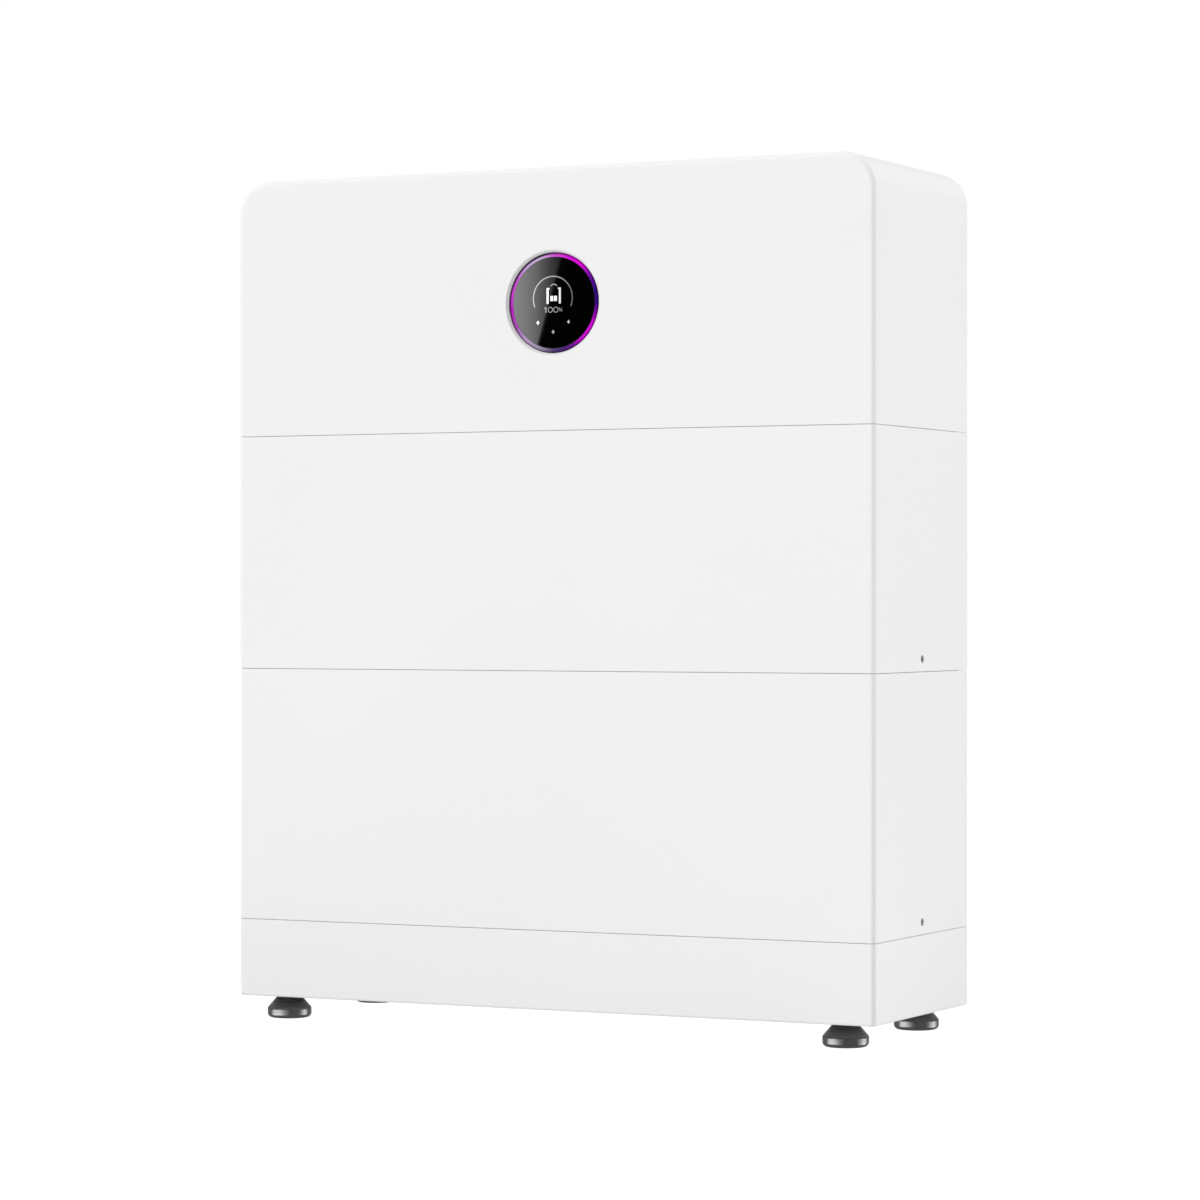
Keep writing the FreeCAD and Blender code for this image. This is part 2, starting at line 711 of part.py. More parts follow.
def hexagon(corner_radius, start, direction, length):
    """A six-sided bar."""
    normal = Vector(*direction)
    centre = Vector(*start)
    across = Vector(0, 0, 1) if abs(normal.z) < 0.5 else Vector(1, 0, 0)
    other = normal.cross(across)
    corners = []
    for index in range(7):
        angle = math.radians(60 * index)
        offset = across * math.cos(angle) + other * math.sin(angle)
        corners.append(centre + offset * corner_radius)
    return Part.Face(Part.makePolygon(corners)).extrude(normal * length)


def side_screws():
    """The screws on both sides of the two battery modules."""
    return group([
        side_screw(sign, bottom + SIDE_SCREW_HEIGHT)
        for bottom in (LOWER_BOTTOM, UPPER_BOTTOM)
        for sign in (-1, 1)
    ])


def locating_pin(x, y, level):
    """Round pin with a tapered tip, pressed into the top of a module."""
    start = level - LOCATING_RISE
    tip_start = level + LOCATING_RISE - LOCATING_TIP
    shank = rod(LOCATING_RADIUS, (x, y, start), (0, 0, 1), tip_start - start)
    tip = cone(LOCATING_RADIUS, LOCATING_RADIUS / 2, (x, y, tip_start), (0, 0, 1), LOCATING_TIP)
    return join([shank, tip])


def locating_pins():
    """The pins on top of the base and of both battery modules."""
    return group([
        locating_pin(x, y, level)
        for level in (LOWER_BOTTOM, UPPER_BOTTOM, POWER_BOTTOM)
        for x, y in LOCATING_PINS
    ])


def foot_places():
    """Name and centre of each foot."""
    x = SIDE - FOOT_INSET_X
    y = BACK - FOOT_INSET_Y
    return {
        "front_left": (-x, -y),
        "front_right": (x, -y),
        "rear_left": (-x, y),
        "rear_right": (x, y),
    }


def base_skirt():
    """White tray of the base, with a hole over each foot."""
    high = LOWER_BOTTOM - SEAM_HALF_GAP
    outer = box((-SIDE, SIDE), (FRONT, BACK), (BASE_BOTTOM, high))
    outer = front_fillet(outer, SIDE, FRONT, EDGE_RADIUS)
    outer = rear_fillet(outer, SIDE)
    outer = round_edges(
        outer, BASE_EDGE_RADIUS, lambda limits: on_plane(limits.ZMin, limits.ZMax, BASE_BOTTOM)
    )
    outer = rim_fillet(outer, high, SIDE, FRONT)
    inner = box(
        (-INNER_SIDE, INNER_SIDE), (INNER_FRONT, PANEL_FRONT), (BASE_BOTTOM + WALL, LOWER_BOTTOM + OVERRUN)
    )
    inner = front_fillet(inner, INNER_SIDE, INNER_FRONT, EDGE_RADIUS - WALL)
    channel = box((-INNER_SIDE, INNER_SIDE), (REAR_FACE, BACK + OVERRUN), (BASE_BOTTOM - 1, LOWER_BOTTOM))
    holes = [
        rod(SKIRT_HOLE_RADIUS, (x, y, BASE_BOTTOM - 1), (0, 0, 1), WALL + 2)
        for x, y in foot_places().values()
    ]
    return outer.cut([inner, channel] + holes)


def base_frame():
    """Steel frame of the base: top plate, two beams and a threaded boss over each foot."""
    under = LOWER_BOTTOM - SHEET
    floor = BASE_BOTTOM + WALL
    pieces = [lid(LOWER_BOTTOM, PANEL_FRONT)]
    reach = SIDE - FOOT_INSET_X
    beam_y = BACK - FOOT_INSET_Y
    for sign in (-1, 1):
        z = (floor + LONG_BEAM_RISE, under)
        pieces.append(box((-reach, reach), around(sign * beam_y, BEAM_THICKNESS), z))
    for x in CROSS_BEAM_PLACES:
        z = (floor + CROSS_BEAM_RISE, under)
        pieces.append(box(around(x, BEAM_THICKNESS), (-beam_y, beam_y), z))
    for x, y in foot_places().values():
        pieces.append(rod(BOSS_RADIUS, (x, y, floor), (0, 0, 1), under - floor))
    bores = [
        rod(STUD_RADIUS + THREAD_CLEARANCE, (x, y, floor - 1), (0, 0, 1), BOSS_BORE_TOP - floor + 1)
        for x, y in foot_places().values()
    ]
    return join(pieces).cut(bores)


def foot_pad(x, y):
    """Turned steel pad: round lower edge and shoulder, conical top and a socket for the stud."""
    inner = PAD_RADIUS - PAD_BOTTOM_RADIUS
    bend = PAD_BOTTOM_RADIUS * (1 - math.sqrt(0.5))
    points = {
        "recess_centre": (0, PAD_RECESS_HEIGHT),
        "recess_edge": (PAD_RECESS_RADIUS, PAD_RECESS_HEIGHT),
        "rim_inner": (PAD_RECESS_RADIUS, 0),
        "rim_outer": (inner, 0),
        "bend": (PAD_RADIUS - bend, bend),
        "band_bottom": (PAD_RADIUS, PAD_BOTTOM_RADIUS),
        "band_top": (PAD_RADIUS, PAD_BAND_TOP),
        "cone_top": (PAD_TOP_RADIUS, PAD_TOP),
        "top_centre": (0, PAD_TOP),
    }
    at = {name: Vector(x + radius, y, height) for name, (radius, height) in points.items()}
    lower = [
        Part.LineSegment(at["recess_centre"], at["recess_edge"]),
        Part.LineSegment(at["recess_edge"], at["rim_inner"]),
        Part.LineSegment(at["rim_inner"], at["rim_outer"]),
        Part.Arc(at["rim_outer"], at["bend"], at["band_bottom"]),
    ]
    upper = [
        Part.LineSegment(at["band_bottom"], at["band_top"]),
        Part.LineSegment(at["band_top"], at["cone_top"]),
        Part.LineSegment(at["cone_top"], at["top_centre"]),
        Part.LineSegment(at["top_centre"], at["recess_centre"]),
    ]
    wire = Part.Wire([edge.toShape() for edge in lower + upper])
    pad = Part.Face(wire).revolve(Vector(x, y, 0), Vector(0, 0, 1), 360)
    pad = round_edges(
        pad, PAD_SHOULDER_RADIUS, lambda limits: on_plane(limits.ZMin, limits.ZMax, PAD_BAND_TOP)
    )
    return pad.cut(rod(SOCKET_RADIUS, (x, y, SOCKET_FLOOR), (0, 0, 1), PAD_TOP))


def foot_stud(x, y):
    """Threaded stud that turns in the pad, with spanner flats above it."""
    low = SOCKET_FLOOR + STUD_BOTTOM_GAP
    end = rod(STUD_END_RADIUS, (x, y, low), (0, 0, 1), STUD_END_TOP - low)
    neck = rod(STUD_RADIUS - 1, (x, y, STUD_END_TOP), (0, 0, 1), STUD_NECK_TOP - STUD_END_TOP)
    flats = hexagon(STUD_RADIUS, (x, y, STUD_NECK_TOP), (0, 0, 1), STUD_FLATS_TOP - STUD_NECK_TOP)
    thread = rod(STUD_RADIUS, (x, y, STUD_FLATS_TOP), (0, 0, 1), STUD_TOP - 1 - STUD_FLATS_TOP)
    tip = cone(STUD_RADIUS, STUD_RADIUS - 1, (x, y, STUD_TOP - 1), (0, 0, 1), 1)
    return join([end, neck, flats, thread, tip])


def display_disc(radius, front, thickness):
    """A disc on the display's axis."""
    return rod(radius, (DISPLAY_X, front, DISPLAY_Z), (0, 1, 0), thickness)


def ring_light_guide():
    """Clear ring around the glass, round at its front."""
    ring = display_disc(RING_OUTER, RING_FRONT, RING_LENGTH)
    ring = ring.cut(display_disc(RING_INNER, RING_FRONT - 1, RING_LENGTH + 2))
    return round_edges(ring, RING_ROUND, lambda limits: on_plane(limits.YMin, limits.YMax, RING_FRONT))


def display_glass():
    """Black cover glass inside the ring."""
    glass = display_disc(GLASS_RADIUS, GLASS_FRONT, GLASS_THICKNESS)
    return round_edges(glass, GLASS_ROUND, lambda limits: on_plane(limits.YMin, limits.YMax, GLASS_FRONT))


def display_screen():
    """Screen panel behind the glass."""
    return display_disc(SCREEN_RADIUS, GLASS_FRONT + GLASS_THICKNESS, SCREEN_THICKNESS)


def ring_led_board():
    """Round board that carries the lamps of the ring and the screen's connector."""
    front = RING_FRONT + RING_LENGTH
    width, depth, height = RING_BOARD_SOCKET
    board = display_disc(RING_BOARD_RADIUS, front, BOARD_THICKNESS)
    board_socket = box(around(DISPLAY_X, width), (front, front + depth), around(DISPLAY_Z, height))
    return join([board, board_socket])


def display_housing():
    """Black cup clipped behind the cover, which holds the parts of the display."""
    front = FRONT + DISH_BOSS_DEPTH
    cup = display_disc(HOUSING_RADIUS, front, HOUSING_BACK - front)
    cavity = display_disc(HOUSING_CAVITY_RADIUS, front - 1, HOUSING_BACK - front - 1)
    width, height = HOUSING_SLOT_SIZE
    cable_slot = box(
        around(DISPLAY_X, width),
        (HOUSING_BACK - HOUSING_SLOT_DEPTH, HOUSING_BACK + 1),
        around(DISPLAY_Z - HOUSING_SLOT_DROP, height),
    )
    return cup.cut([cavity, cable_slot])


def wiring_bay():
    """Moulded tray let into the left side, open for the isolator and the button, and its gland plate."""
    outer = rounded_block(
        (-INNER_SIDE, BAY_FLOOR_X + SHEET), bay_limits(BAY_Y, SHEET), bay_limits(BAY_Z, SHEET)
    )
    flange = rounded_block(
        (-INNER_SIDE, -INNER_SIDE + SHEET), bay_limits(BAY_Y, BAY_FLANGE), bay_limits(BAY_Z, BAY_FLANGE)
    )
    inner = rounded_block((-INNER_SIDE - OVERRUN, BAY_FLOOR_X), BAY_Y, BAY_Z)
    tray = outer.fuse(flange).cut(inner)
    bosses = [
        box((BAY_BOSS_FRONT, BAY_FLOOR_X), around(BAY_SCREW_Y, BAY_BOSS_SIZE), z)
        for z in (
            (BAY_Z[0] - 1, BAY_Z[0] + BAY_BOSS_SIZE),
            (BAY_Z[1] - BAY_BOSS_SIZE, BAY_Z[1] + 1),
        )
    ]
    ring_radius = BUTTON_RADIUS + BUTTON_RING_WALL
    button_ring = rod(ring_radius, (BAY_FLOOR_X, BUTTON_Y, BUTTON_Z), (-1, 0, 0), BUTTON_RING_HEIGHT)
    tray = join([tray, button_ring] + bosses)
    holes = [
        rod(BAY_SCREW_RADIUS + 0.5, (BAY_BOSS_FRONT - 1, BAY_SCREW_Y, z), (1, 0, 0), BAY_SCREW_LENGTH - 1)
        for z in bay_screw_levels()
    ]
    button_start = (BAY_FLOOR_X - BUTTON_RING_HEIGHT - 1, BUTTON_Y, BUTTON_Z)
    button_depth = BUTTON_RING_HEIGHT + SHEET + 2
    holes.append(rod(BUTTON_RADIUS + BUTTON_CLEARANCE, button_start, (1, 0, 0), button_depth))
    holes.append(rod(COLLAR_RADIUS, (BAY_FLOOR_X - 1, ISOLATOR_Y, ISOLATOR_Z), (1, 0, 0), SHEET + 2))
    holes.append(gland_block(GROMMET_OUTER + 1, BAY_Y[1] - 1, SHEET + 2))
    return group([tray.cut(holes), gland_plate()])


def gland_block(margin, front, thickness):
    """A block along Y that reaches a margin past the axes of the cable grommets."""
    levels = (GROMMET_LEVELS[0] - margin, GROMMET_LEVELS[-1] + margin)
    return box(around(GROMMET_X, 2 * margin), (front, front + thickness), levels)


def gland_plate():
    """Plate behind the rear wall of the bay that holds the cable grommets."""
    front = BAY_Y[1] + SHEET
    holes = [
        rod(GROMMET_OUTER, (GROMMET_X, front - 1, level), (0, 1, 0), GLAND_PLATE + 2)
        for level in GROMMET_LEVELS
    ]
    return gland_block(GROMMET_OUTER + GLAND_MARGIN, front, GLAND_PLATE).cut(holes)


def bay_screw_levels():
    """Heights of the two screws of the bay's cover."""
    return (BAY_Z[0] + BAY_SCREW_INSET, BAY_Z[1] - BAY_SCREW_INSET)


def wiring_cover():
    """Flush lift-off cover of the bay, with a rim that enters the tray."""
    plate_x = (-SIDE, -SIDE + COVER_THICKNESS)
    plate = rounded_block(
        plate_x, bay_limits(BAY_Y, BAY_RIM - COVER_GAP), bay_limits(BAY_Z, BAY_RIM - COVER_GAP)
    )
    plate = round_edges(plate, RIM_RADIUS, lambda limits: on_plane(limits.XMin, limits.XMax, -SIDE))
    rim = rounded_block(
        (plate_x[1] - 0.2, BAY_BOSS_FRONT - COVER_GAP),
        bay_limits(BAY_Y, -COVER_GAP),
        bay_limits(BAY_Z, -COVER_GAP),
    )
    hollow = rounded_block(
        (plate_x[1] - 0.1, BAY_BOSS_FRONT),
        bay_limits(BAY_Y, -COVER_GAP - SHEET),
        bay_limits(BAY_Z, -COVER_GAP - SHEET),
    )
    holes = []
    for z in bay_screw_levels():
        start = (-SIDE - 1, BAY_SCREW_Y, z)
        holes.append(rod(BAY_SCREW_RADIUS + 0.2, start, (1, 0, 0), COVER_THICKNESS + 2))
        holes.append(rod(BAY_HEAD_RADIUS + 0.2, start, (1, 0, 0), BAY_HEAD_SEAT + 1))
    return join([plate, rim.cut(hollow)]).cut(holes)


def cover_screws():
    """Two captive screws of the bay's cover."""
    screws = []
    for z in bay_screw_levels():
        seat = (-SIDE + BAY_HEAD_SEAT, BAY_SCREW_Y, z)
        head = rod(BAY_HEAD_RADIUS, seat, (-1, 0, 0), BAY_HEAD_SEAT - 0.1)
        shank = rod(BAY_SCREW_RADIUS, seat, (1, 0, 0), BAY_SCREW_LENGTH)
        slot = box((-SIDE - 1, -SIDE + 0.7), around(BAY_SCREW_Y, 2.2 * BAY_HEAD_RADIUS), around(z, 0.9))
        screws.append(join([head, shank]).cut(slot))
    return group(screws)


def isolator_body():
    """Rotary direct-current isolator behind the floor of the bay."""
    back = BAY_FLOOR_X + SHEET
    body = box(
        (back, back + ISOLATOR_DEPTH),
        around(ISOLATOR_Y, ISOLATOR_SIDE),
        around(ISOLATOR_Z, ISOLATOR_SIDE),
    )
    body = round_edges(body, ISOLATOR_EDGE_RADIUS, lambda limits: limits.XLength > ISOLATOR_DEPTH / 2)
    collar = rod(COLLAR_RADIUS, (BAY_FLOOR_X, ISOLATOR_Y, ISOLATOR_Z), (1, 0, 0), SHEET + 1)
    start = (BAY_FLOOR_X - 1, ISOLATOR_Y, ISOLATOR_Z)
    bore = rod(SPINDLE_RADIUS + THREAD_CLEARANCE, start, (1, 0, 0), SPINDLE_BORE_LENGTH)
    return join([body, collar]).cut(bore)


def isolator_knob():
    """Rotary knob with a raised grip, and the spindle it turns."""
    back = BAY_FLOOR_X - KNOB_GAP
    front = back - KNOB_DISC
    at_axis = (ISOLATOR_Y, ISOLATOR_Z)
    disc = rod(KNOB_RADIUS, (back, *at_axis), (-1, 0, 0), KNOB_DISC)
    disc = round_edges(disc, KNOB_EDGE_RADIUS, lambda limits: on_plane(limits.XMin, limits.XMax, front))
    thickness, length = GRIP_SIZE
    grip = box((back - GRIP_REACH, front + 1), around(ISOLATOR_Y, thickness), around(ISOLATOR_Z, length))
    grip = round_edges(grip, GRIP_EDGE_RADIUS, lambda limits: limits.XLength > thickness)
    spindle = rod(SPINDLE_RADIUS, (back - 1, *at_axis), (1, 0, 0), SPINDLE_LENGTH)
    return join([disc, grip, spindle])


def start_button():
    """Push button held by a flange behind the floor of the bay."""
    front = BAY_FLOOR_X - BUTTON_REACH
    flange_front = BAY_FLOOR_X + SHEET + BUTTON_CLEARANCE
    cap = rod(BUTTON_RADIUS, (front, BUTTON_Y, BUTTON_Z), (1, 0, 0), flange_front - front)
    cap = round_edges(cap, 1, lambda limits: on_plane(limits.XMin, limits.XMax, front))
    flange_start = (flange_front, BUTTON_Y, BUTTON_Z)
    flange = rod(BUTTON_RADIUS + BUTTON_FLANGE, flange_start, (1, 0, 0), BUTTON_FLANGE)
    return join([cap, flange])


def round_connector(y, z, radius, length, bore, core):
    """A round panel connector with a hexagonal nut, on the floor of the bay."""
    front = BAY_FLOOR_X - length
    nut = hexagon(radius * NUT_TO_BARREL, (BAY_FLOOR_X, y, z), (-1, 0, 0), NUT_HEIGHT)
    barrel = rod(radius, (BAY_FLOOR_X, y, z), (-1, 0, 0), length)
    barrel = round_edges(barrel, 1, lambda limits: on_plane(limits.XMin, limits.XMax, front))
    hollow = rod(bore, (front - 1, y, z), (1, 0, 0), length - NUT_HEIGHT)
    insert = rod(core, (BAY_FLOOR_X, y, z), (-1, 0, 0), length - 3)
    return join([join([nut, barrel]).cut(hollow), insert])


def pv_connectors():
    """Four direct-current connectors for two strings of solar panels."""
    return group([
        round_connector(y, SOLAR_Z, SOLAR_RADIUS, SOLAR_LENGTH, SOLAR_BORE, SOLAR_CORE)
        for y in SOLAR_PLACES
    ])


def ac_connector():
    """Grid connector, with five contact holes in its insert."""
    contacts = []
    for index in range(GRID_CONTACT_COUNT):
        angle = 2 * math.pi * index / GRID_CONTACT_COUNT
        y = GRID_Y + GRID_CONTACT_CIRCLE * math.cos(angle)
        z = GRID_Z + GRID_CONTACT_CIRCLE * math.sin(angle)
        start = (BAY_FLOOR_X - GRID_LENGTH, y, z)
        contacts.append(rod(GRID_CONTACT_RADIUS, start, (1, 0, 0), GRID_LENGTH / 2))
    body = round_connector(GRID_Y, GRID_Z, GRID_RADIUS, GRID_LENGTH, GRID_BORE, GRID_CORE)
    return body.cut(contacts)


def data_ports():
    """Block with two network sockets."""
    depth, width, height = NETWORK_BLOCK
    port_depth, port_width, port_height = NETWORK_SIZE
    front = BAY_FLOOR_X - depth
    middle = sum(NETWORK_PLACES) / len(NETWORK_PLACES)
    block = box((front, BAY_FLOOR_X), around(middle, width), around(NETWORK_Z, height))
    ports = [
        box((front - 1, front - 1 + port_depth), around(y, port_width), around(NETWORK_Z, port_height))
        for y in NETWORK_PLACES
    ]
    return block.cut(ports)


def cable_grommets():
    """Rubber sleeves that lead the cables from the bay to the rear channel."""
    sleeves = []
    for level in GROMMET_LEVELS:
        front = BAY_Y[1] - GROMMET_OVERHANG
        length = REAR_FACE + GROMMET_OVERHANG - front
        tube = rod(GROMMET_OUTER, (GROMMET_X, front, level), (0, 1, 0), length)
        bore = rod(GROMMET_BORE, (GROMMET_X, front - 1, level), (0, 1, 0), length + 2)
        sleeves.append(tube.cut(bore))
    return group(sleeves)


def heat_sink():
    """Finned aluminium heat sink, whose fins stand in the rear channel."""
    base = box(SINK_X, (PANEL_FRONT - SINK_BASE, PANEL_FRONT), SINK_Z)
    fin_z = bay_limits(SINK_Z, -SINK_LIP - 2)
    first = SINK_X[0] + SINK_LIP + FIN_PITCH / 2
    last = SINK_X[1] - SINK_LIP - FIN_PITCH / 2
    count = int((last - first) / FIN_PITCH) + 1
    fins = [
        box(around(first + index * FIN_PITCH, FIN_THICKNESS), (PANEL_FRONT, FIN_BACK), fin_z)
        for index in range(count)
    ]
    return join([base] + fins)


def power_board():
    """Power board in front of the heat sink, with its switching modules against the sink."""
    back = POWER_BOARD_Y + BOARD_THICKNESS
    board = box(POWER_BOARD_X, (POWER_BOARD_Y, back), POWER_BOARD_Z)
    width, height = SWITCH_MODULE_SIZE
    modules = [
        box(around(x, width), (back, PANEL_FRONT - SINK_BASE), around(SWITCH_MODULE_Z, height))
        for x in SWITCH_MODULE_PLACES
    ]
    return join([board] + modules)


def bus_capacitors():
    """Row of electrolytic capacitors on the power board."""
    return group([
        rod(CAPACITOR_RADIUS, (x, POWER_BOARD_Y, z), (0, -1, 0), CAPACITOR_LENGTH)
        for z in CAPACITOR_LEVELS
        for x in CAPACITOR_PLACES
    ])


def boost_inductors():
    """Potted toroidal inductors screwed to the heat sink beside the board."""
    back = PANEL_FRONT - SINK_BASE
    front = back - INDUCTOR_LENGTH
    chokes = []
    for z in INDUCTOR_LEVELS:
        coil = rod(INDUCTOR_RADIUS, (INDUCTOR_X, back, z), (0, -1, 0), INDUCTOR_LENGTH)
        coil = round_edges(
            coil, INDUCTOR_EDGE_RADIUS, lambda limits: on_plane(limits.YMin, limits.YMax, front)
        )
        hole = rod(INDUCTOR_BORE, (INDUCTOR_X, back + 1, z), (0, -1, 0), INDUCTOR_LENGTH + 2)
        chokes.append(coil.cut(hole))
    return group(chokes)


def control_board():
    """Control board behind the display, with its processor and sockets."""
    face = CONTROL_BOARD_Y
    board = box(CONTROL_BOARD_X, (face, face + BOARD_THICKNESS), CONTROL_BOARD_Z)
    chips = [
        box(around(place[0], size[0]), (face - size[2], face), around(place[1], size[1]))
        for size, place in CONTROL_BOARD_PARTS
    ]
    return join([board] + chips)


def bracket_screw_places():
    """X and Z of the screws that hold the wall bracket to the power module."""
    x = BRACKET_HALF_WIDTH + BRACKET_FLANGE / 2
    levels = (BRACKET_Z[0] + BRACKET_SCREW_Z_INSET, BRACKET_Z[1] - BRACKET_SCREW_Z_INSET)
    return [(sign * x, z) for sign in (-1, 1) for z in levels]


def wall_bracket():
    """Steel hat-shaped bracket that ties the stack to the wall, with two slots."""
    face = box((-BRACKET_HALF_WIDTH, BRACKET_HALF_WIDTH), (BACK - BRACKET_SHEET, BACK), BRACKET_Z)
    pieces = [face]
    for sign in (-1, 1):
        edge = sign * BRACKET_HALF_WIDTH
        web_x = sorted((edge, edge - sign * BRACKET_SHEET))
        flange_x = sorted((edge, edge + sign * BRACKET_FLANGE))
        pieces.append(box(web_x, (REAR_FACE, BACK), BRACKET_Z))
        pieces.append(box(flange_x, (REAR_FACE, REAR_FACE + BRACKET_SHEET), BRACKET_Z))
    cuts = []
    level = sum(BRACKET_Z) / 2
    reach = SLOT_LENGTH / 2 - SLOT_RADIUS
    y = BACK - BRACKET_SHEET - 1
    for sign in (-1, 1):
        x = sign * SLOT_SPACING / 2
        middle = box(around(x, 2 * reach), (y, BACK + 1), around(level, 2 * SLOT_RADIUS))
        ends = [
            rod(SLOT_RADIUS, (x + end, y, level), (0, 1, 0), BRACKET_SHEET + 2)
            for end in (-reach, reach)
        ]
        cuts.append(join([middle] + ends))
    for x, z in bracket_screw_places():
        cuts.append(rod(BRACKET_SCREW_RADIUS, (x, REAR_FACE - 1, z), (0, 1, 0), BRACKET_SHEET + 2))
    return join(pieces).cut(cuts)


def bracket_screws():
    """Four hexagon-head screws of the wall bracket."""
    screws = []
    for x, z in bracket_screw_places():
        seat = REAR_FACE + BRACKET_SHEET
        shank = rod(BRACKET_SCREW_RADIUS, (x, seat, z), (0, -1, 0), BRACKET_SCREW_LENGTH)
        head = hexagon(BRACKET_HEAD_RADIUS, (x, seat, z), (0, 1, 0), BRACKET_HEAD_HEIGHT)
        screws.append(join([shank, head]))
    return group(screws)


def save_battery(name, bottom, top):
    """Write the nodes of one battery module."""
    save(f"{name}_cover", battery_cover(bottom, top))
    save(f"{name}_chassis", battery_chassis(bottom, top))
    save(f"{name}_lid", lid(top, PANEL_FRONT))
    save(f"{name}_cells", cells(bottom))
    save(f"{name}_end_plates", end_plates(bottom))
    save(f"{name}_tie_straps", tie_straps(bottom))
    save(f"{name}_busbars", busbars(bottom))
    save(f"{name}_board", battery_board(bottom))
    save(f"{name}_contactor", contactor(bottom))
    save(f"{name}_plug", plug(bottom))
    save(f"{name}_socket", socket(top))


save_battery("lower", LOWER_BOTTOM, UPPER_BOTTOM)
save_battery("upper", UPPER_BOTTOM, POWER_BOTTOM)

save("base_skirt", base_skirt())
save("base_frame", base_frame())
save("base_socket", socket(LOWER_BOTTOM))
for place, (foot_x, foot_y) in foot_places().items():
    save(f"foot_pad_{place}", foot_pad(foot_x, foot_y))
    save(f"foot_stud_{place}", foot_stud(foot_x, foot_y))
save("side_screws", side_screws())
save("locating_pins", locating_pins())

save("power_cover", power_cover())
save("power_chassis", power_chassis())
save("power_plug", plug(POWER_BOTTOM))
save("heat_sink", heat_sink())
save("power_board", power_board())
save("bus_capacitors", bus_capacitors())
save("boost_inductors", boost_inductors())
save("control_board", control_board())
save("display_housing", display_housing())
save("ring_light_guide", ring_light_guide())
save("ring_led_board", ring_led_board())
save("display_screen", display_screen())
save("display_glass", display_glass())
save("wiring_bay", wiring_bay())
save("wiring_cover", wiring_cover())
save("cover_screws", cover_screws())
save("isolator_body", isolator_body())
save("isolator_knob", isolator_knob())
save("start_button", start_button())
save("pv_connectors", pv_connectors())
save("ac_connector", ac_connector())
save("data_ports", data_ports())
save("cable_grommets", cable_grommets())
save("wall_bracket", wall_bracket())
save("bracket_screws", bracket_screws())
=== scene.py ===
import json
import math
import bpy
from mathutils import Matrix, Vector


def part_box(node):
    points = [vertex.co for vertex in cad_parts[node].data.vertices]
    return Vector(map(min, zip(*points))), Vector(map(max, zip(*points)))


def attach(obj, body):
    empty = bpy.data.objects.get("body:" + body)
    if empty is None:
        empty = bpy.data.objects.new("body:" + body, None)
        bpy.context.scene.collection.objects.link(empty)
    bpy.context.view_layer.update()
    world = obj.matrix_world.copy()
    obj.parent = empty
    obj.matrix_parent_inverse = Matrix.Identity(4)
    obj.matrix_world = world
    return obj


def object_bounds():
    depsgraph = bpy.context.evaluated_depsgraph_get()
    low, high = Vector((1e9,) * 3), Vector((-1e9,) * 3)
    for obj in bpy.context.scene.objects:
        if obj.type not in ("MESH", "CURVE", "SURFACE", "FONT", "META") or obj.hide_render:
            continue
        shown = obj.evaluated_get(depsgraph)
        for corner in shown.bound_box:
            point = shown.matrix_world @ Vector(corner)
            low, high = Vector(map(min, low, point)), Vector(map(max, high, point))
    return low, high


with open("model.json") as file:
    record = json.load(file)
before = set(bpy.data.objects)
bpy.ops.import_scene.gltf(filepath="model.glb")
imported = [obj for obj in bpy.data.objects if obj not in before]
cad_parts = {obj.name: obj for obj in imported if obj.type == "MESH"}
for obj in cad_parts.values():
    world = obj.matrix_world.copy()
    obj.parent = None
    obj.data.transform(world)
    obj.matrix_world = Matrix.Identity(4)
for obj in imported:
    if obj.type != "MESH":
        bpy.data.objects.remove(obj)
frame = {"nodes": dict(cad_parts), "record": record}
cad_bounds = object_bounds()
MM = 0.001
FEET = ("front_left", "front_right", "rear_left", "rear_right")


# ---------------------------------------------------------------- small helpers

def srgb(red, green, blue):
    """Linear colour from 0-255 display values."""
    def linear(value):
        share = value / 255
        return share / 12.92 if share <= 0.04045 else ((share + 0.055) / 1.055) ** 2.4
    return (linear(red), linear(green), linear(blue), 1.0)


def grey(value):
    """Linear grey from one 0-255 display value."""
    return srgb(value, value, value)


def light_stops(tones):
    """Ramp stops from (position, brightness) pairs."""
    return [(position, (level, level, level, 1.0)) for position, level in tones]


def ring_stops(stops):
    """Ramp stops from (degrees, colour) pairs."""
    return [(degrees / 360, colour) for degrees, colour in stops]


def middle(node):
    """Middle of a CAD node's box."""
    low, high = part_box(node)
    return (low + high) / 2


def add_mesh(name, vertices, faces):
    """A flat-shaded mesh object from vertices and faces in the row frame."""
    mesh = bpy.data.meshes.new(name)
    mesh.from_pydata([tuple(vertex) for vertex in vertices], [], faces)
    mesh.update()
    piece = bpy.data.objects.new(name, mesh)
    bpy.context.scene.collection.objects.link(piece)
    return piece


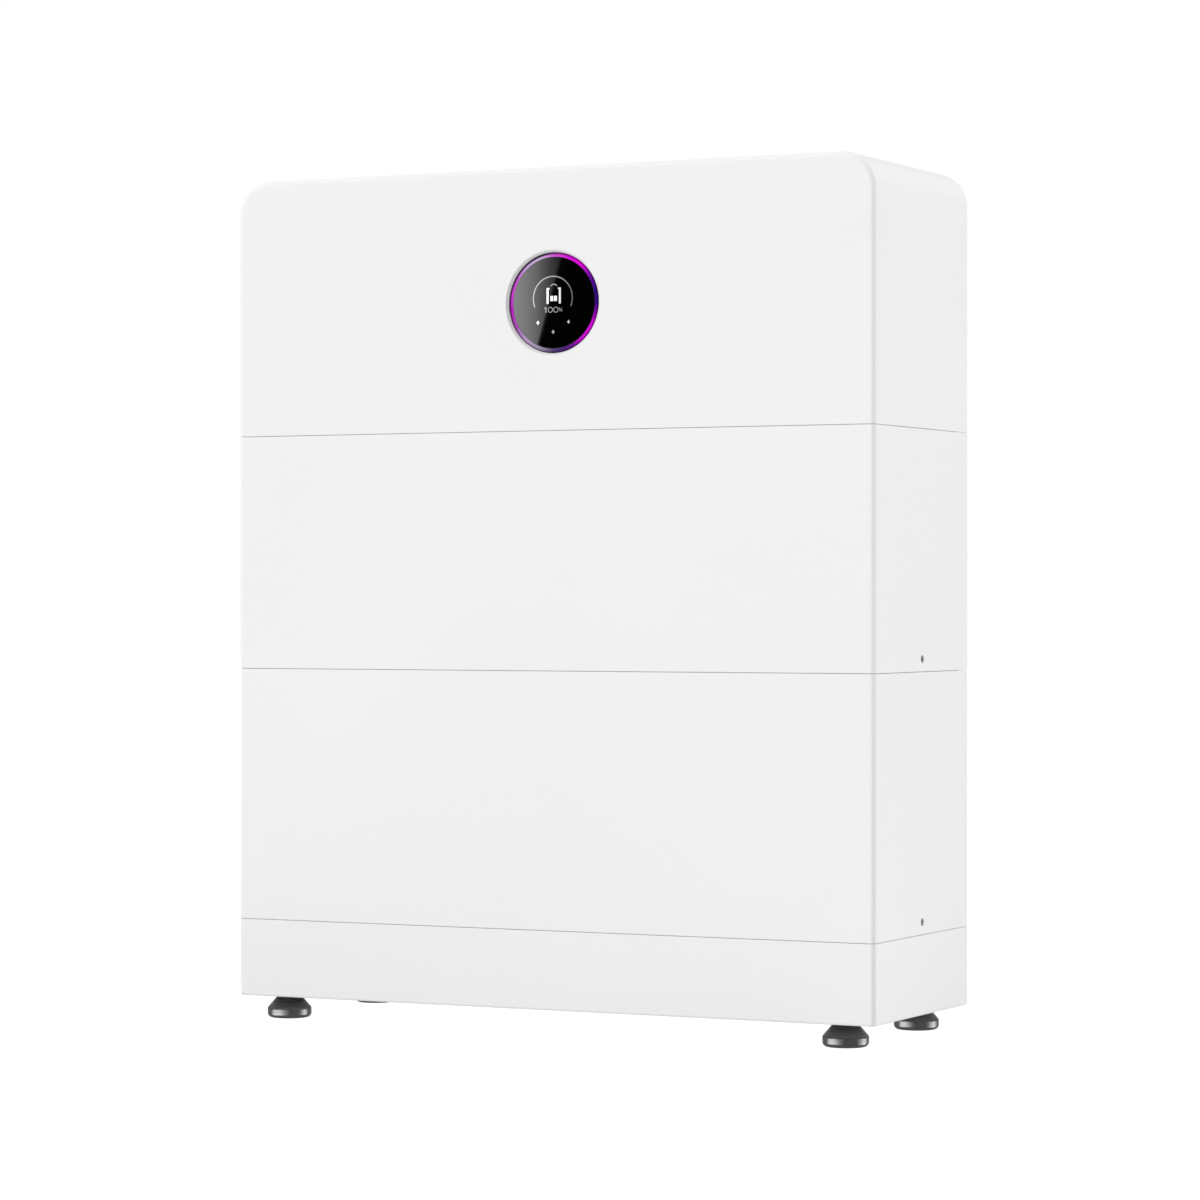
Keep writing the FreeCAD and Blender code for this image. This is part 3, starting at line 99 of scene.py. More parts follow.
class Surface:
    """A node material with one Principled shader, built up feature by feature."""

    def __init__(self, name, roughness=0.5, metallic=0.0, **sockets):
        self.material = bpy.data.materials.new(name)
        self.material.use_nodes = True
        self.nodes = self.material.node_tree.nodes
        self.links = self.material.node_tree.links
        self.shader = self.nodes["Principled BSDF"]
        self.shader.inputs["Roughness"].default_value = roughness
        self.shader.inputs["Metallic"].default_value = metallic
        for socket, value in sockets.items():
            self.shader.inputs[socket.replace("_", " ")].default_value = value
        self.place = self.nodes.new("ShaderNodeTexCoord").outputs["Object"]
        self.normal = None

    def stretched(self, scale):
        """Object coordinates scaled by axis."""
        mapping = self.nodes.new("ShaderNodeMapping")
        mapping.inputs["Scale"].default_value = scale
        self.links.new(self.place, mapping.inputs["Vector"])
        return mapping.outputs["Vector"]

    def noise(self, scale, detail=2.0, stretch=(1, 1, 1)):
        """Noise value; scale is in features per metre."""
        texture = self.nodes.new("ShaderNodeTexNoise")
        texture.inputs["Scale"].default_value = scale
        texture.inputs["Detail"].default_value = detail
        self.links.new(self.stretched(stretch), texture.inputs["Vector"])
        return texture.outputs["Fac"]

    def cells(self, scale):
        """Voronoi cells with a colour each; scale is in cells per metre."""
        texture = self.nodes.new("ShaderNodeTexVoronoi")
        texture.inputs["Scale"].default_value = scale
        self.links.new(self.place, texture.inputs["Vector"])
        return texture.outputs["Color"]

    def math(self, operation, first, second=None):
        """One arithmetic step on values or sockets."""
        step = self.nodes.new("ShaderNodeMath")
        step.operation = operation
        for index, value in enumerate((first, second)):
            if value is None:
                continue
            if isinstance(value, (int, float)):
                step.inputs[index].default_value = value
            else:
                self.links.new(value, step.inputs[index])
        return step.outputs["Value"]

    def mix(self, blend, first, second, share=1.0):
        """Two colours blended; the share is a number or a socket."""
        step = self.nodes.new("ShaderNodeMix")
        step.data_type = "RGBA"
        step.blend_type = blend
        self.links.new(first, step.inputs["A"])
        self.links.new(second, step.inputs["B"])
        if isinstance(share, (int, float)):
            step.inputs["Factor"].default_value = share
        else:
            self.links.new(share, step.inputs["Factor"])
        return step.outputs["Result"]

    def ramp(self, factor, stops):
        """Colour ramp with (position, colour) stops."""
        ramp = self.nodes.new("ShaderNodeValToRGB")
        elements = ramp.color_ramp.elements
        while len(elements) < len(stops):
            elements.new(0.5)
        for element, (position, colour) in zip(elements, stops):
            element.position = position
            element.color = colour
        self.links.new(factor, ramp.inputs["Fac"])
        return ramp.outputs["Color"]

    def colour(self, factor, stops):
        """Base colour from a ramp."""
        self.links.new(self.ramp(factor, stops), self.shader.inputs["Base Color"])

    def rough(self, factor, low, high):
        """Roughness that varies between two values."""
        spread = self.nodes.new("ShaderNodeMapRange")
        spread.inputs["To Min"].default_value = low
        spread.inputs["To Max"].default_value = high
        self.links.new(factor, spread.inputs["Value"])
        self.links.new(spread.outputs["Result"], self.shader.inputs["Roughness"])

    def bump(self, height, depth, strength=1.0):
        """Bump of a depth in metres; later bumps ride on earlier ones."""
        bump = self.nodes.new("ShaderNodeBump")
        bump.inputs["Distance"].default_value = depth
        bump.inputs["Strength"].default_value = strength
        self.links.new(height, bump.inputs["Height"])
        if self.normal is not None:
            self.links.new(self.normal, bump.inputs["Normal"])
        self.normal = bump.outputs["Normal"]
        self.links.new(self.normal, self.shader.inputs["Normal"])

    def glow(self, colour, strength):
        """Emission from a colour socket."""
        self.links.new(colour, self.shader.inputs["Emission Color"])
        self.shader.inputs["Emission Strength"].default_value = strength


# ---------------------------------------------------------------- materials

def powder_coat(name, value):
    """Matt white powder coat with a fine orange-peel texture."""
    surface = Surface(name, roughness=0.5, Specular_IOR_Level=0.15)
    broad = surface.noise(4.0, 1.0)
    surface.colour(broad, [(0.3, grey(value)), (0.7, grey(value + 2))])
    surface.rough(surface.noise(60.0), 0.46, 0.56)
    surface.bump(surface.noise(900.0, 2.0), 0.00003, 0.5)
    return surface.material


def zinc_sheet(name):
    """Zinc-plated sheet with a faint spangle."""
    surface = Surface(name, roughness=0.5, metallic=0.15, Specular_IOR_Level=0.2)
    surface.colour(surface.cells(220.0), [(0.0, grey(158)), (1.0, grey(174))])
    surface.rough(surface.noise(90.0), 0.42, 0.58)
    surface.bump(surface.noise(700.0), 0.00002, 0.4)
    return surface.material


def screw_metal(name):
    """Zinc-plated fastener steel with fine machining marks."""
    surface = Surface(name, roughness=0.32, metallic=1.0)
    surface.colour(surface.noise(500.0), [(0.3, grey(150)), (0.7, grey(185))])
    surface.rough(surface.noise(900.0), 0.25, 0.42)
    surface.bump(surface.noise(1500.0, 1.0), 0.00001, 0.4)
    return surface.material


def turned_metal(name):
    """Dark turned steel, with fine lines around the axis."""
    surface = Surface(name, roughness=0.26, metallic=1.0)
    lines = surface.noise(1.0, 3.0, stretch=(2, 2, 1500))
    surface.colour(lines, [(0.3, grey(92)), (0.7, grey(112))])
    surface.rough(lines, 0.2, 0.32)
    surface.bump(lines, 0.00001, 0.5)
    return surface.material


def cast_aluminium(name):
    """Matt cast aluminium."""
    surface = Surface(name, roughness=0.55, metallic=1.0)
    surface.colour(surface.noise(60.0), [(0.3, grey(168)), (0.7, grey(186))])
    surface.rough(surface.noise(300.0), 0.45, 0.62)
    surface.bump(surface.noise(1100.0, 3.0), 0.00005, 0.6)
    return surface.material


def moulded(name, value, gloss=0.5):
    """Moulded plastic with a fine spark-eroded grain."""
    surface = Surface(name, roughness=gloss)
    surface.colour(surface.noise(30.0), [(0.3, grey(value)), (0.7, grey(value + 6))])
    surface.rough(surface.noise(400.0), gloss - 0.06, gloss + 0.08)
    surface.bump(surface.noise(1600.0, 2.0), 0.00003, 0.5)
    return surface.material


def tinted(name, dark, light, gloss=0.45):
    """Moulded plastic or film in a colour."""
    surface = Surface(name, roughness=gloss)
    surface.colour(surface.noise(45.0), [(0.3, srgb(*dark)), (0.7, srgb(*light))])
    surface.rough(surface.noise(300.0), gloss - 0.08, gloss + 0.08)
    surface.bump(surface.noise(1200.0), 0.00002, 0.4)
    return surface.material


def rubber(name):
    """Matt black rubber."""
    surface = Surface(name, roughness=0.8)
    surface.colour(surface.noise(200.0), [(0.3, grey(28)), (0.7, grey(38))])
    surface.rough(surface.noise(500.0), 0.7, 0.9)
    surface.bump(surface.noise(1400.0, 3.0), 0.00008, 0.6)
    return surface.material


def circuit_board(name):
    """Green solder mask over square tracks."""
    surface = Surface(name, roughness=0.35)
    tracks = surface.nodes.new("ShaderNodeTexBrick")
    tracks.inputs["Scale"].default_value = 160.0
    tracks.inputs["Mortar Size"].default_value = 0.04
    tracks.inputs["Color1"].default_value = srgb(18, 92, 52)
    tracks.inputs["Color2"].default_value = srgb(22, 104, 60)
    tracks.inputs["Mortar"].default_value = srgb(60, 140, 86)
    surface.links.new(surface.place, tracks.inputs["Vector"])
    surface.links.new(tracks.outputs["Color"], surface.shader.inputs["Base Color"])
    surface.rough(surface.noise(80.0), 0.3, 0.45)
    surface.bump(tracks.outputs["Fac"], 0.00004, 0.5)
    return surface.material


def brushed(name, dark, light):
    """Metal brushed along X."""
    surface = Surface(name, roughness=0.35, metallic=1.0)
    lines = surface.noise(1.0, 3.0, stretch=(20, 1500, 1500))
    surface.colour(lines, [(0.3, srgb(*dark)), (0.7, srgb(*light))])
    surface.rough(lines, 0.25, 0.45)
    surface.bump(lines, 0.00002, 0.5)
    return surface.material


def black_glass(name):
    """Polished glass, printed black behind."""
    surface = Surface(name, roughness=0.02, Specular_IOR_Level=0.5, IOR=1.5)
    surface.colour(surface.noise(25.0), [(0.3, grey(2)), (0.7, grey(3))])
    surface.rough(surface.noise(20.0), 0.012, 0.022)
    return surface.material


# Colours around the light ring, at degrees clockwise from its top; the whitish lilac at its left, from 200
# to 220 and from 320 to 342 degrees, is painted reflection
RING_COLOURS_AND_PAINTED_REFLECTION = (
    (0, (212, 92, 218)),
    (20, (222, 20, 222)),
    (40, (236, 10, 226)),
    (52, (160, 14, 192)),
    (62, (98, 14, 164)),
    (80, (44, 14, 124)),
    (92, (60, 6, 140)),
    (103, (140, 8, 178)),
    (120, (232, 14, 228)),
    (140, (212, 16, 222)),
    (152, (120, 26, 160)),
    (164, (80, 38, 126)),
    (180, (78, 64, 112)),
    (200, (156, 148, 168)),
    (220, (186, 160, 198)),
    (240, (172, 88, 186)),
    (262, (192, 34, 196)),
    (280, (206, 66, 210)),
    (300, (194, 84, 206)),
    (320, (198, 164, 222)),
    (342, (202, 178, 216)),
    (360, (212, 92, 218)),
)

# Brightness across the light ring, from the share of its outer radius: evenly lit, and with painted shade
# darkening its outer rim
RING_LIT = (
    (0.0, grey(225)),
    (0.93, grey(255)),
    (0.965, grey(235)),
    (0.985, grey(165)),
    (1.0, grey(120)),
)
RING_PAINTED_SHADE_PROFILE = (
    (0.0, grey(235)),
    (0.94, grey(255)),
    (0.952, grey(205)),
    (0.964, grey(100)),
    (0.976, grey(40)),
    (1.0, grey(30)),
)

# How much of the painted shade on the outer rim shows, at degrees clockwise from the top of the ring; most
# at the upper left
RING_PAINTED_SHADE_SHARE = (
    (0, grey(215)),
    (25, grey(60)),
    (60, grey(60)),
    (100, grey(30)),
    (160, grey(70)),
    (200, grey(40)),
    (235, grey(140)),
    (262, grey(225)),
    (300, grey(255)),
    (345, grey(255)),
    (360, grey(215)),
)


def light_ring(name):
    """Clear guide lit from behind: the colour runs around the ring and falls off to its outer rim, where
    painted shade darkens it most at the upper left; the whitish lilac at its left is painted reflection.
    """
    surface = Surface(name, roughness=0.3, Specular_IOR_Level=0.0)
    centre = middle("ring_light_guide")
    split = surface.nodes.new("ShaderNodeSeparateXYZ")
    surface.links.new(surface.place, split.inputs["Vector"])
    across = surface.math("SUBTRACT", split.outputs["X"], centre.x)
    up = surface.math("SUBTRACT", split.outputs["Z"], centre.z)
    turn = surface.math("DIVIDE", surface.math("ARCTAN2", across, up), 2 * math.pi)
    around = surface.math("FRACT", surface.math("ADD", turn, 1.0))
    # Colour around the ring, with painted reflection as the whitish lilac at its left
    colour = surface.ramp(around, ring_stops((degrees, srgb(*rgb)) for degrees, rgb in RING_COLOURS_AND_PAINTED_REFLECTION))
    squares = surface.math("ADD", surface.math("MULTIPLY", across, across), surface.math("MULTIPLY", up, up))
    radius = surface.math("SQRT", squares)
    low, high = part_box("ring_light_guide")
    outer = (high.x - low.x) / 2
    share = surface.math("DIVIDE", radius, outer)
    # Painted shade: the outer rim turns dark by the angle around the ring, most at the upper left
    shade = surface.ramp(around, ring_stops(RING_PAINTED_SHADE_SHARE))
    rim_painted_shade = surface.mix("MIX", surface.ramp(share, RING_LIT), surface.ramp(share, RING_PAINTED_SHADE_PROFILE), shade)
    surface.colour(share, [(0.9, srgb(12, 2, 14)), (1.0, srgb(6, 2, 10))])
    surface.glow(surface.mix("MULTIPLY", colour, rim_painted_shade), 1.0)
    return surface.material


# Half width of the lit part of the screen in millimetres, and the fineness of its grid
SCREEN_HALF_WIDTH = 24.0
PIXELS_PER_METRE = 4000.0


def screen_print(name, strength):
    """Lit marks of the screen, brightest at the left, with a fine pixel grid."""
    surface = Surface(name, roughness=0.3)
    centre = middle("display_glass")
    split = surface.nodes.new("ShaderNodeSeparateXYZ")
    surface.links.new(surface.place, split.inputs["Vector"])
    across = surface.math("SUBTRACT", split.outputs["X"], centre.x - SCREEN_HALF_WIDTH * MM)
    share = surface.math("DIVIDE", across, 2 * SCREEN_HALF_WIDTH * MM)
    grid = surface.nodes.new("ShaderNodeTexChecker")
    grid.inputs["Scale"].default_value = PIXELS_PER_METRE
    grid.inputs["Color1"].default_value = grey(255)
    grid.inputs["Color2"].default_value = grey(238)
    surface.links.new(surface.place, grid.inputs["Vector"])
    tone = surface.ramp(share, [(0.0, grey(215)), (0.5, grey(170)), (1.0, grey(60))])
    surface.colour(share, [(0.0, grey(60)), (1.0, grey(40))])
    surface.glow(surface.mix("MULTIPLY", tone, grid.outputs["Color"]), strength)
    return surface.material


MATERIALS = {
    "white_cover": powder_coat("white_powder_coat", 238),
    "zinc_steel": zinc_sheet("zinc_sheet"),
    "screw_steel": screw_metal("screw_metal"),
    "foot_metal": turned_metal("turned_metal"),
    "cast_aluminium": cast_aluminium("cast_aluminium"),
    "cell_film": tinted("cell_film", (28, 70, 140), (36, 84, 160), 0.35),
    "busbar_metal": brushed("busbar_metal", (176, 106, 70), (206, 134, 94)),
    "circuit_board": circuit_board("circuit_board"),
    "connector_black": moulded("connector_plastic", 34),
    "knob_black": moulded("knob_plastic", 26, 0.4),
    "button_grey": moulded("button_plastic", 120, 0.4),
    "bay_grey": moulded("bay_plastic", 150, 0.55),
    "capacitor_sleeve": tinted("capacitor_sleeve", (14, 16, 26), (22, 24, 36), 0.25),
    "potted_coil": moulded("potting", 44, 0.6),
    "port_metal": brushed("port_shell", (150, 150, 152), (186, 186, 188)),
    "rubber_black": rubber("rubber"),
    "light_ring": light_ring("light_ring"),
    "screen": tinted("screen_panel", (6, 6, 8), (10, 10, 12), 0.25),
    "display_glass": black_glass("display_glass"),
}


def paint_cad_nodes():
    """Give every CAD node the material of its slot."""
    for entry in frame["record"]["subparts"]:
        data = frame["nodes"][entry["node"]].data
        data.materials.clear()
        data.materials.append(MATERIALS[entry["material_slot"]])


paint_cad_nodes()


# ---------------------------------------------------------------- screen marks

# Screen marks, in millimetres across and up from the middle of the glass; angles in degrees
ARC_CENTRE = (-1.0, 4.4)
ARC_RADIUS = 21.4
ARC_WIDTH = 1.1
ARC_ENDS = (-22, 202)
ARC_STEPS = 72
SYMBOL_HALF_WIDTH = 7.8
SYMBOL_LEVELS = (-1.0, 14.6)
SYMBOL_STROKE = 2.1
SYMBOL_LIP = 1.4
CELL_WIDTH = 3.1
CELL_LEVELS = (1.6, 6.6)
CELL_HALF_GAP = 0.5
HANDLE_RISE = 0.6
HANDLE_RADII = (3.6, 2.8)
HANDLE_WIDTH = 1.0
HANDLE_ENDS = (20, 160)
HANDLE_STEPS = 16
FIGURE_LEVEL = -6.9
FIGURE_HALF_HEIGHT = 2.8
FIGURE_STROKE = 0.65
ONE_PLACE = -8.7
ONE_FLAG_REACH = 1.8
ONE_FLAG_DROPS = (1.4, 2.2, 1.0)
ZERO_PLACES = (-3.7, 2.3)
ZERO_HALF_WIDTH = 2.4
ZERO_STEPS = 36
PERCENT_PLACE = 7.4
PERCENT_BAR = (1.6, 1.1, 1.7)
PERCENT_DOT_OFFSET = (1.2, -0.9)
PERCENT_DOT_RADII = (0.6, 0.7)
PERCENT_STROKE = 0.5
PERCENT_STEPS = 20
STATUS_PLACES = ((-17.4, -19.2), (16.4, -19.2))
LOWER_STATUS_PLACE = (-0.6, -28.6)
STATUS_SIZE = (1.6, 2.0)
MARK_LIFT = 0.04
DOT_STEP = 20


class Marks:
    """Flat marks in the plane of the glass, as one mesh. Millimetres from the display's centre."""

    def __init__(self):
        self.centre = middle("display_glass")
        self.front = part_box("display_glass")[0].y - MARK_LIFT * MM
        self.vertices = []
        self.faces = []

    def polygon(self, points):
        """A filled outline of (across, up) points."""
        first = len(self.vertices)
        for across, up in points:
            self.vertices.append((self.centre.x + across * MM, self.front, self.centre.z + up * MM))
        self.faces.append(list(range(first, first + len(points))))

    def block(self, left, right, bottom, top):
        """A filled rectangle, whichever of its sides is named first."""
        left, right = sorted((left, right))
        self.polygon([(left, bottom), (right, bottom), (right, top), (left, top)])

    def arc(self, centre, radii, width, start, end, steps):
        """A curved stroke on an ellipse, between angles in degrees counter-clockwise from the right."""
        angles = [math.radians(start + (end - start) * index / steps) for index in range(steps + 1)]
        for first, second in zip(angles, angles[1:]):
            self.polygon([
                (
                    centre[0] + (radii[0] + grow) * math.cos(angle),
                    centre[1] + (radii[1] + grow) * math.sin(angle),
                )
                for angle, grow in (
                    (first, -width / 2),
                    (first, width / 2),
                    (second, width / 2),
                    (second, -width / 2),
                )
            ])

    def dot(self, centre, radius):
        """A filled circle."""
        self.polygon([
            (
                centre[0] + radius * math.cos(math.radians(angle)),
                centre[1] + radius * math.sin(math.radians(angle)),
            )
            for angle in range(0, 360, DOT_STEP)
        ])

    def build(self, name, material):
        """One mesh piece that rides with the stack."""
        piece = add_mesh(name, self.vertices, self.faces)
        piece.data.materials.append(PRINTS[material])
        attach(piece, "stack")


PRINTS = {
    "print": screen_print("screen_print", 1.0),
    "bright_print": screen_print("screen_print_bright", 3.0),
}


def charge_arc():
    """Open arc over the battery symbol."""
    marks = Marks()
    marks.arc(ARC_CENTRE, (ARC_RADIUS, ARC_RADIUS), ARC_WIDTH, *ARC_ENDS, steps=ARC_STEPS)
    for angle in ARC_ENDS:
        end = (
            ARC_CENTRE[0] + ARC_RADIUS * math.cos(math.radians(angle)),
            ARC_CENTRE[1] + ARC_RADIUS * math.sin(math.radians(angle)),
        )
        marks.dot(end, ARC_WIDTH / 2)
    marks.build("screen_arc", "print")


def battery_symbol():
    """Upright battery: two sides with short lips, a handle and two filled cells."""
    marks = Marks()
    low, high = SYMBOL_LEVELS
    for side in (-1, 1):
        outer = side * SYMBOL_HALF_WIDTH
        inner = outer - side * SYMBOL_STROKE
        marks.block(outer, inner, low, high)
        marks.block(inner, inner - side * SYMBOL_STROKE / 2, high - SYMBOL_LIP, high)
        marks.block(side * CELL_HALF_GAP, side * (CELL_HALF_GAP + CELL_WIDTH), *CELL_LEVELS)
    marks.build("screen_battery_symbol", "bright_print")
    handle = Marks()
    handle.arc((0, high + HANDLE_RISE), HANDLE_RADII, HANDLE_WIDTH, *HANDLE_ENDS, steps=HANDLE_STEPS)
    handle.build("screen_battery_handle", "print")


def charge_figures():
    """The charge level in per cent, in plain strokes."""
    marks = Marks()
    low = FIGURE_LEVEL - FIGURE_HALF_HEIGHT
    high = FIGURE_LEVEL + FIGURE_HALF_HEIGHT
    left = ONE_PLACE - FIGURE_STROKE / 2
    flag = ONE_PLACE - ONE_FLAG_REACH
    upper, lower, root = ONE_FLAG_DROPS
    marks.block(left, ONE_PLACE + FIGURE_STROKE, low, high)
    marks.polygon([(left, high), (flag, high - upper), (flag, high - lower), (left, high - root)])
    zero_radii = (ZERO_HALF_WIDTH, FIGURE_HALF_HEIGHT - FIGURE_STROKE / 2)
    for place in ZERO_PLACES:
        marks.arc((place, FIGURE_LEVEL), zero_radii, FIGURE_STROKE, 0, 360, steps=ZERO_STEPS)
    for side in (-1, 1):
        across, up = PERCENT_DOT_OFFSET
        centre = (PERCENT_PLACE + side * across, FIGURE_LEVEL + side * up)
        marks.arc(centre, PERCENT_DOT_RADII, PERCENT_STROKE, 0, 360, steps=PERCENT_STEPS)
    far, near, half = PERCENT_BAR
    marks.polygon([
        (PERCENT_PLACE - far, FIGURE_LEVEL - half),
        (PERCENT_PLACE - near, FIGURE_LEVEL - half),
        (PERCENT_PLACE + far, FIGURE_LEVEL + half),
        (PERCENT_PLACE + near, FIGURE_LEVEL + half),
    ])
    marks.build("screen_charge_figures", "print")


def status_marks():
    """Three small diamonds for the sun, the grid and the home."""
    wide, tall = STATUS_SIZE
    for name, places, material in (
        ("screen_status_marks", STATUS_PLACES, "bright_print"),
        ("screen_lower_status_mark", (LOWER_STATUS_PLACE,), "print"),
    ):
        marks = Marks()
        for across, up in places:
            marks.polygon([
                (across, up - tall),
                (across + wide, up),
                (across, up + tall),
                (across - wide, up),
            ])
        marks.build(name, material)


charge_arc()
battery_symbol()
charge_figures()
status_marks()


# ---------------------------------------------------------------- rubber soles

# Millimetres, measured from the floor and from the axis of the foot
SOLE_STEPS = 72
SOLE_RADIUS = 16.7
SOLE_TOP = 0.42
SOLE_BOTTOM = 0.03
SOLE_BEVEL = 0.12
GROOVE_RADII = (4.0, 8.0, 12.0)
GROOVE_WIDTH = 1.2
GROOVE_TOP = 0.25


def sole_outline():
    """Half section of a sole as (radius, height), from its underside round the edge to its top."""
    points = []
    for radius in GROOVE_RADII:
        near = radius - GROOVE_WIDTH / 2
        far = radius + GROOVE_WIDTH / 2
        points += [(near, SOLE_BOTTOM), (near, GROOVE_TOP), (far, GROOVE_TOP), (far, SOLE_BOTTOM)]
    points.append((SOLE_RADIUS - SOLE_BEVEL, SOLE_BOTTOM))
    points.append((SOLE_RADIUS, SOLE_BOTTOM + SOLE_BEVEL))
    points.append((SOLE_RADIUS, SOLE_TOP))
    return points


def turned(name, outline, centre, bottom, top, steps):
    """A closed solid of revolution about the vertical axis through the centre."""
    count = len(outline)
    vertices = [(centre.x, centre.y, bottom * MM), (centre.x, centre.y, top * MM)]
    bottom_middle, top_middle, base = 0, 1, len(vertices)
    faces = []
    for step in range(steps):
        angle = 2 * math.pi * step / steps
        for radius, height in outline:
            x = centre.x + radius * MM * math.cos(angle)
            y = centre.y + radius * MM * math.sin(angle)
            vertices.append((x, y, height * MM))
        here = base + step * count
        after = base + (step + 1) % steps * count
        faces.append([bottom_middle, after, here])
        for index in range(count - 1):
            faces.append([here + index, after + index, after + index + 1, here + index + 1])
        faces.append([top_middle, here + count - 1, after + count - 1])
    return add_mesh(name, vertices, faces)


def rubber_soles():
    """A grooved rubber disc in the recess under each levelling pad."""
    for corner in FEET:
        centre = middle("foot_pad_" + corner)
        sole = turned("sole_" + corner, sole_outline(), centre, SOLE_BOTTOM, SOLE_TOP, SOLE_STEPS)
        sole.data.materials.append(MATERIALS["rubber_black"])
        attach(sole, "pad_" + corner)


rubber_soles()


# ---------------------------------------------------------------- isolator marks

# Millimetres; spans run outwards from the axis of the knob
POINTER_SPAN = (6.0, 16.0)
POINTER_WIDTH = 2.4
SCALE_SPAN = (24.5, 29.0)
SCALE_WIDTH = 1.8
SCALE_ANGLES = (0, 90)
PRINT_LIFT = 0.04


def printed_bars(name, face_x, span, width, angles, body, slot):
    """Flat bars that face -X, set radially around the isolator's axis, at angles from top to front."""
    axis = middle("isolator_knob")
    vertices = []
    faces = []
    for angle in angles:
        out = Vector((0, -math.sin(math.radians(angle)), math.cos(math.radians(angle))))
        side = Vector((0, out.z, -out.y)) * (width / 2)
        first = len(vertices)
        for radius, sideways in zip((span[0], span[0], span[1], span[1]), (-side, side, side, -side)):
            offset = (out * radius + sideways) * MM
            vertices.append((face_x - PRINT_LIFT * MM, axis.y + offset.y, axis.z + offset.z))
        faces.append([first + 3, first + 2, first + 1, first])
    bars = add_mesh(name, vertices, faces)
    bars.data.materials.append(MATERIALS[slot])
    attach(bars, body)


def isolator_marks():
    """A white line on the grip of the knob, and a mark on the bay's floor for each of its two positions."""
    grip_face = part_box("isolator_knob")[0].x
    bay_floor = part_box("isolator_body")[0].x
    printed_bars("isolator_pointer", grip_face, POINTER_SPAN, POINTER_WIDTH, (0,), "isolator", "white_cover")
    printed_bars(
        "isolator_scale", bay_floor, SCALE_SPAN, SCALE_WIDTH, SCALE_ANGLES, "stack", "connector_black"
    )


isolator_marks()


# ---------------------------------------------------------------- studio

UP = Vector((0, 0, 1))

# Camera: place in metres, turn in degrees, lens and sensor in millimetres
CAMERA_PLACE = Vector((1.8352, -3.6534, 0.4244))
CAMERA_TURN = 26.65
CAMERA_LENS = 122.16
CAMERA_SENSOR = 36.0
CAMERA_REACH = 60.0

# Light table, the grey card on it, and the backdrop's light on matt and on polished surfaces
FLOOR_HALF_WIDTH = 20.0
FLOOR_GLOW = 1.0
FLOOR_CARD_REACH = 0.28
FLOOR_CARD_LEVEL = 0.001
FLOOR_CARD_GREY = 188
AMBIENT = 0.7
MIRRORED = 0.45

# Name, azimuth and elevation in degrees, and strength of each lamp
LAMPS = (
    ("front_left_light", -38, 18, 1.32),
    ("right_rear_light", 130, 18, 1.29),
    ("overhead_light", 0, 90, 0.35),
    ("light_from_the_table", 0, -90, 0.8),
)
LIGHT_SPREAD = 30.0

# Low reflectors: name, first and last azimuth in degrees, and brightness from the first to the last
REFLECTORS = (
    (
        "reflector_front",
        -72,
        32,
        ((0.0, 0.5), (0.12, 0.95), (0.4, 1.0), (0.55, 0.6), (0.75, 0.2), (1.0, 0.0)),
    ),
    (
        "reflector_right",
        78,
        150,
        ((0.0, 0.0), (0.3, 0.45), (0.5, 0.95), (0.65, 1.0), (0.85, 0.25), (1.0, 0.0)),
    ),
)
REFLECTOR_DISTANCE = 2.2
REFLECTOR_STEP = 8
REFLECTOR_LEVELS = (-1.1, -0.1)
REFLECTOR_STRENGTH = 6.0

# Card that the glass mirrors, in metres and degrees, and its brightness from its edge outwards
CARD_DISTANCE = 2.6
CARD_TILT = 15.0
CARD_SHIFT = 0.0077
CARD_HALF_LENGTH = 0.35
CARD_WIDTH = 0.3
CARD_FADE_START = 0.02
CARD_FADE = 0.1
CARD_TONES = (
    (0.0, 0.03),
    (0.13, 0.095),
    (0.26, 0.2),
    (0.39, 0.38),
    (0.52, 0.62),
    (0.65, 0.785),
    (0.8, 0.95),
    (1.0, 1.0),
)
CARD_STRENGTH = 5.8
FLAG_HALF_WIDTH = 0.7
FLAG_BEHIND = 0.4


def studio_floor():
    """Pale light table that the stack stands on."""
    half = FLOOR_HALF_WIDTH
    corners = [(-half, -half, 0), (half, -half, 0), (half, half, 0), (-half, half, 0)]
    floor = add_mesh("floor", corners, [(0, 1, 2, 3)])
    surface = Surface("light_table", roughness=0.9, Specular_IOR_Level=0.0)
    surface.colour(surface.noise(1.5), [(0.3, grey(148)), (0.7, grey(150))])
    surface.glow(surface.ramp(surface.noise(1.2), [(0.3, grey(250)), (0.7, grey(252))]), FLOOR_GLOW)
    floor.data.materials.append(surface.material)
    floor.visible_diffuse = False
    floor.visible_glossy = False
    floor.visible_shadow = False


def studio_world():
    """White backdrop for the camera, and weaker light from it for diffuse and for polished surfaces."""
    world = bpy.data.worlds.new("studio")
    world.use_nodes = True
    bpy.context.scene.world = world
    nodes = world.node_tree.nodes
    links = world.node_tree.links
    background = nodes["Background"]
    background.inputs["Color"].default_value = (1, 1, 1, 1)
    path = nodes.new("ShaderNodeLightPath")
    strength = None
    for ray, level in (("Is Glossy Ray", MIRRORED), ("Is Camera Ray", 1.0)):
        step = nodes.new("ShaderNodeMix")
        step.data_type = "FLOAT"
        step.inputs["A"].default_value = AMBIENT
        step.inputs["B"].default_value = level
        links.new(path.outputs[ray], step.inputs["Factor"])
        if strength is not None:
            links.new(strength, step.inputs["A"])
        strength = step.outputs["Result"]
    links.new(strength, background.inputs["Strength"])


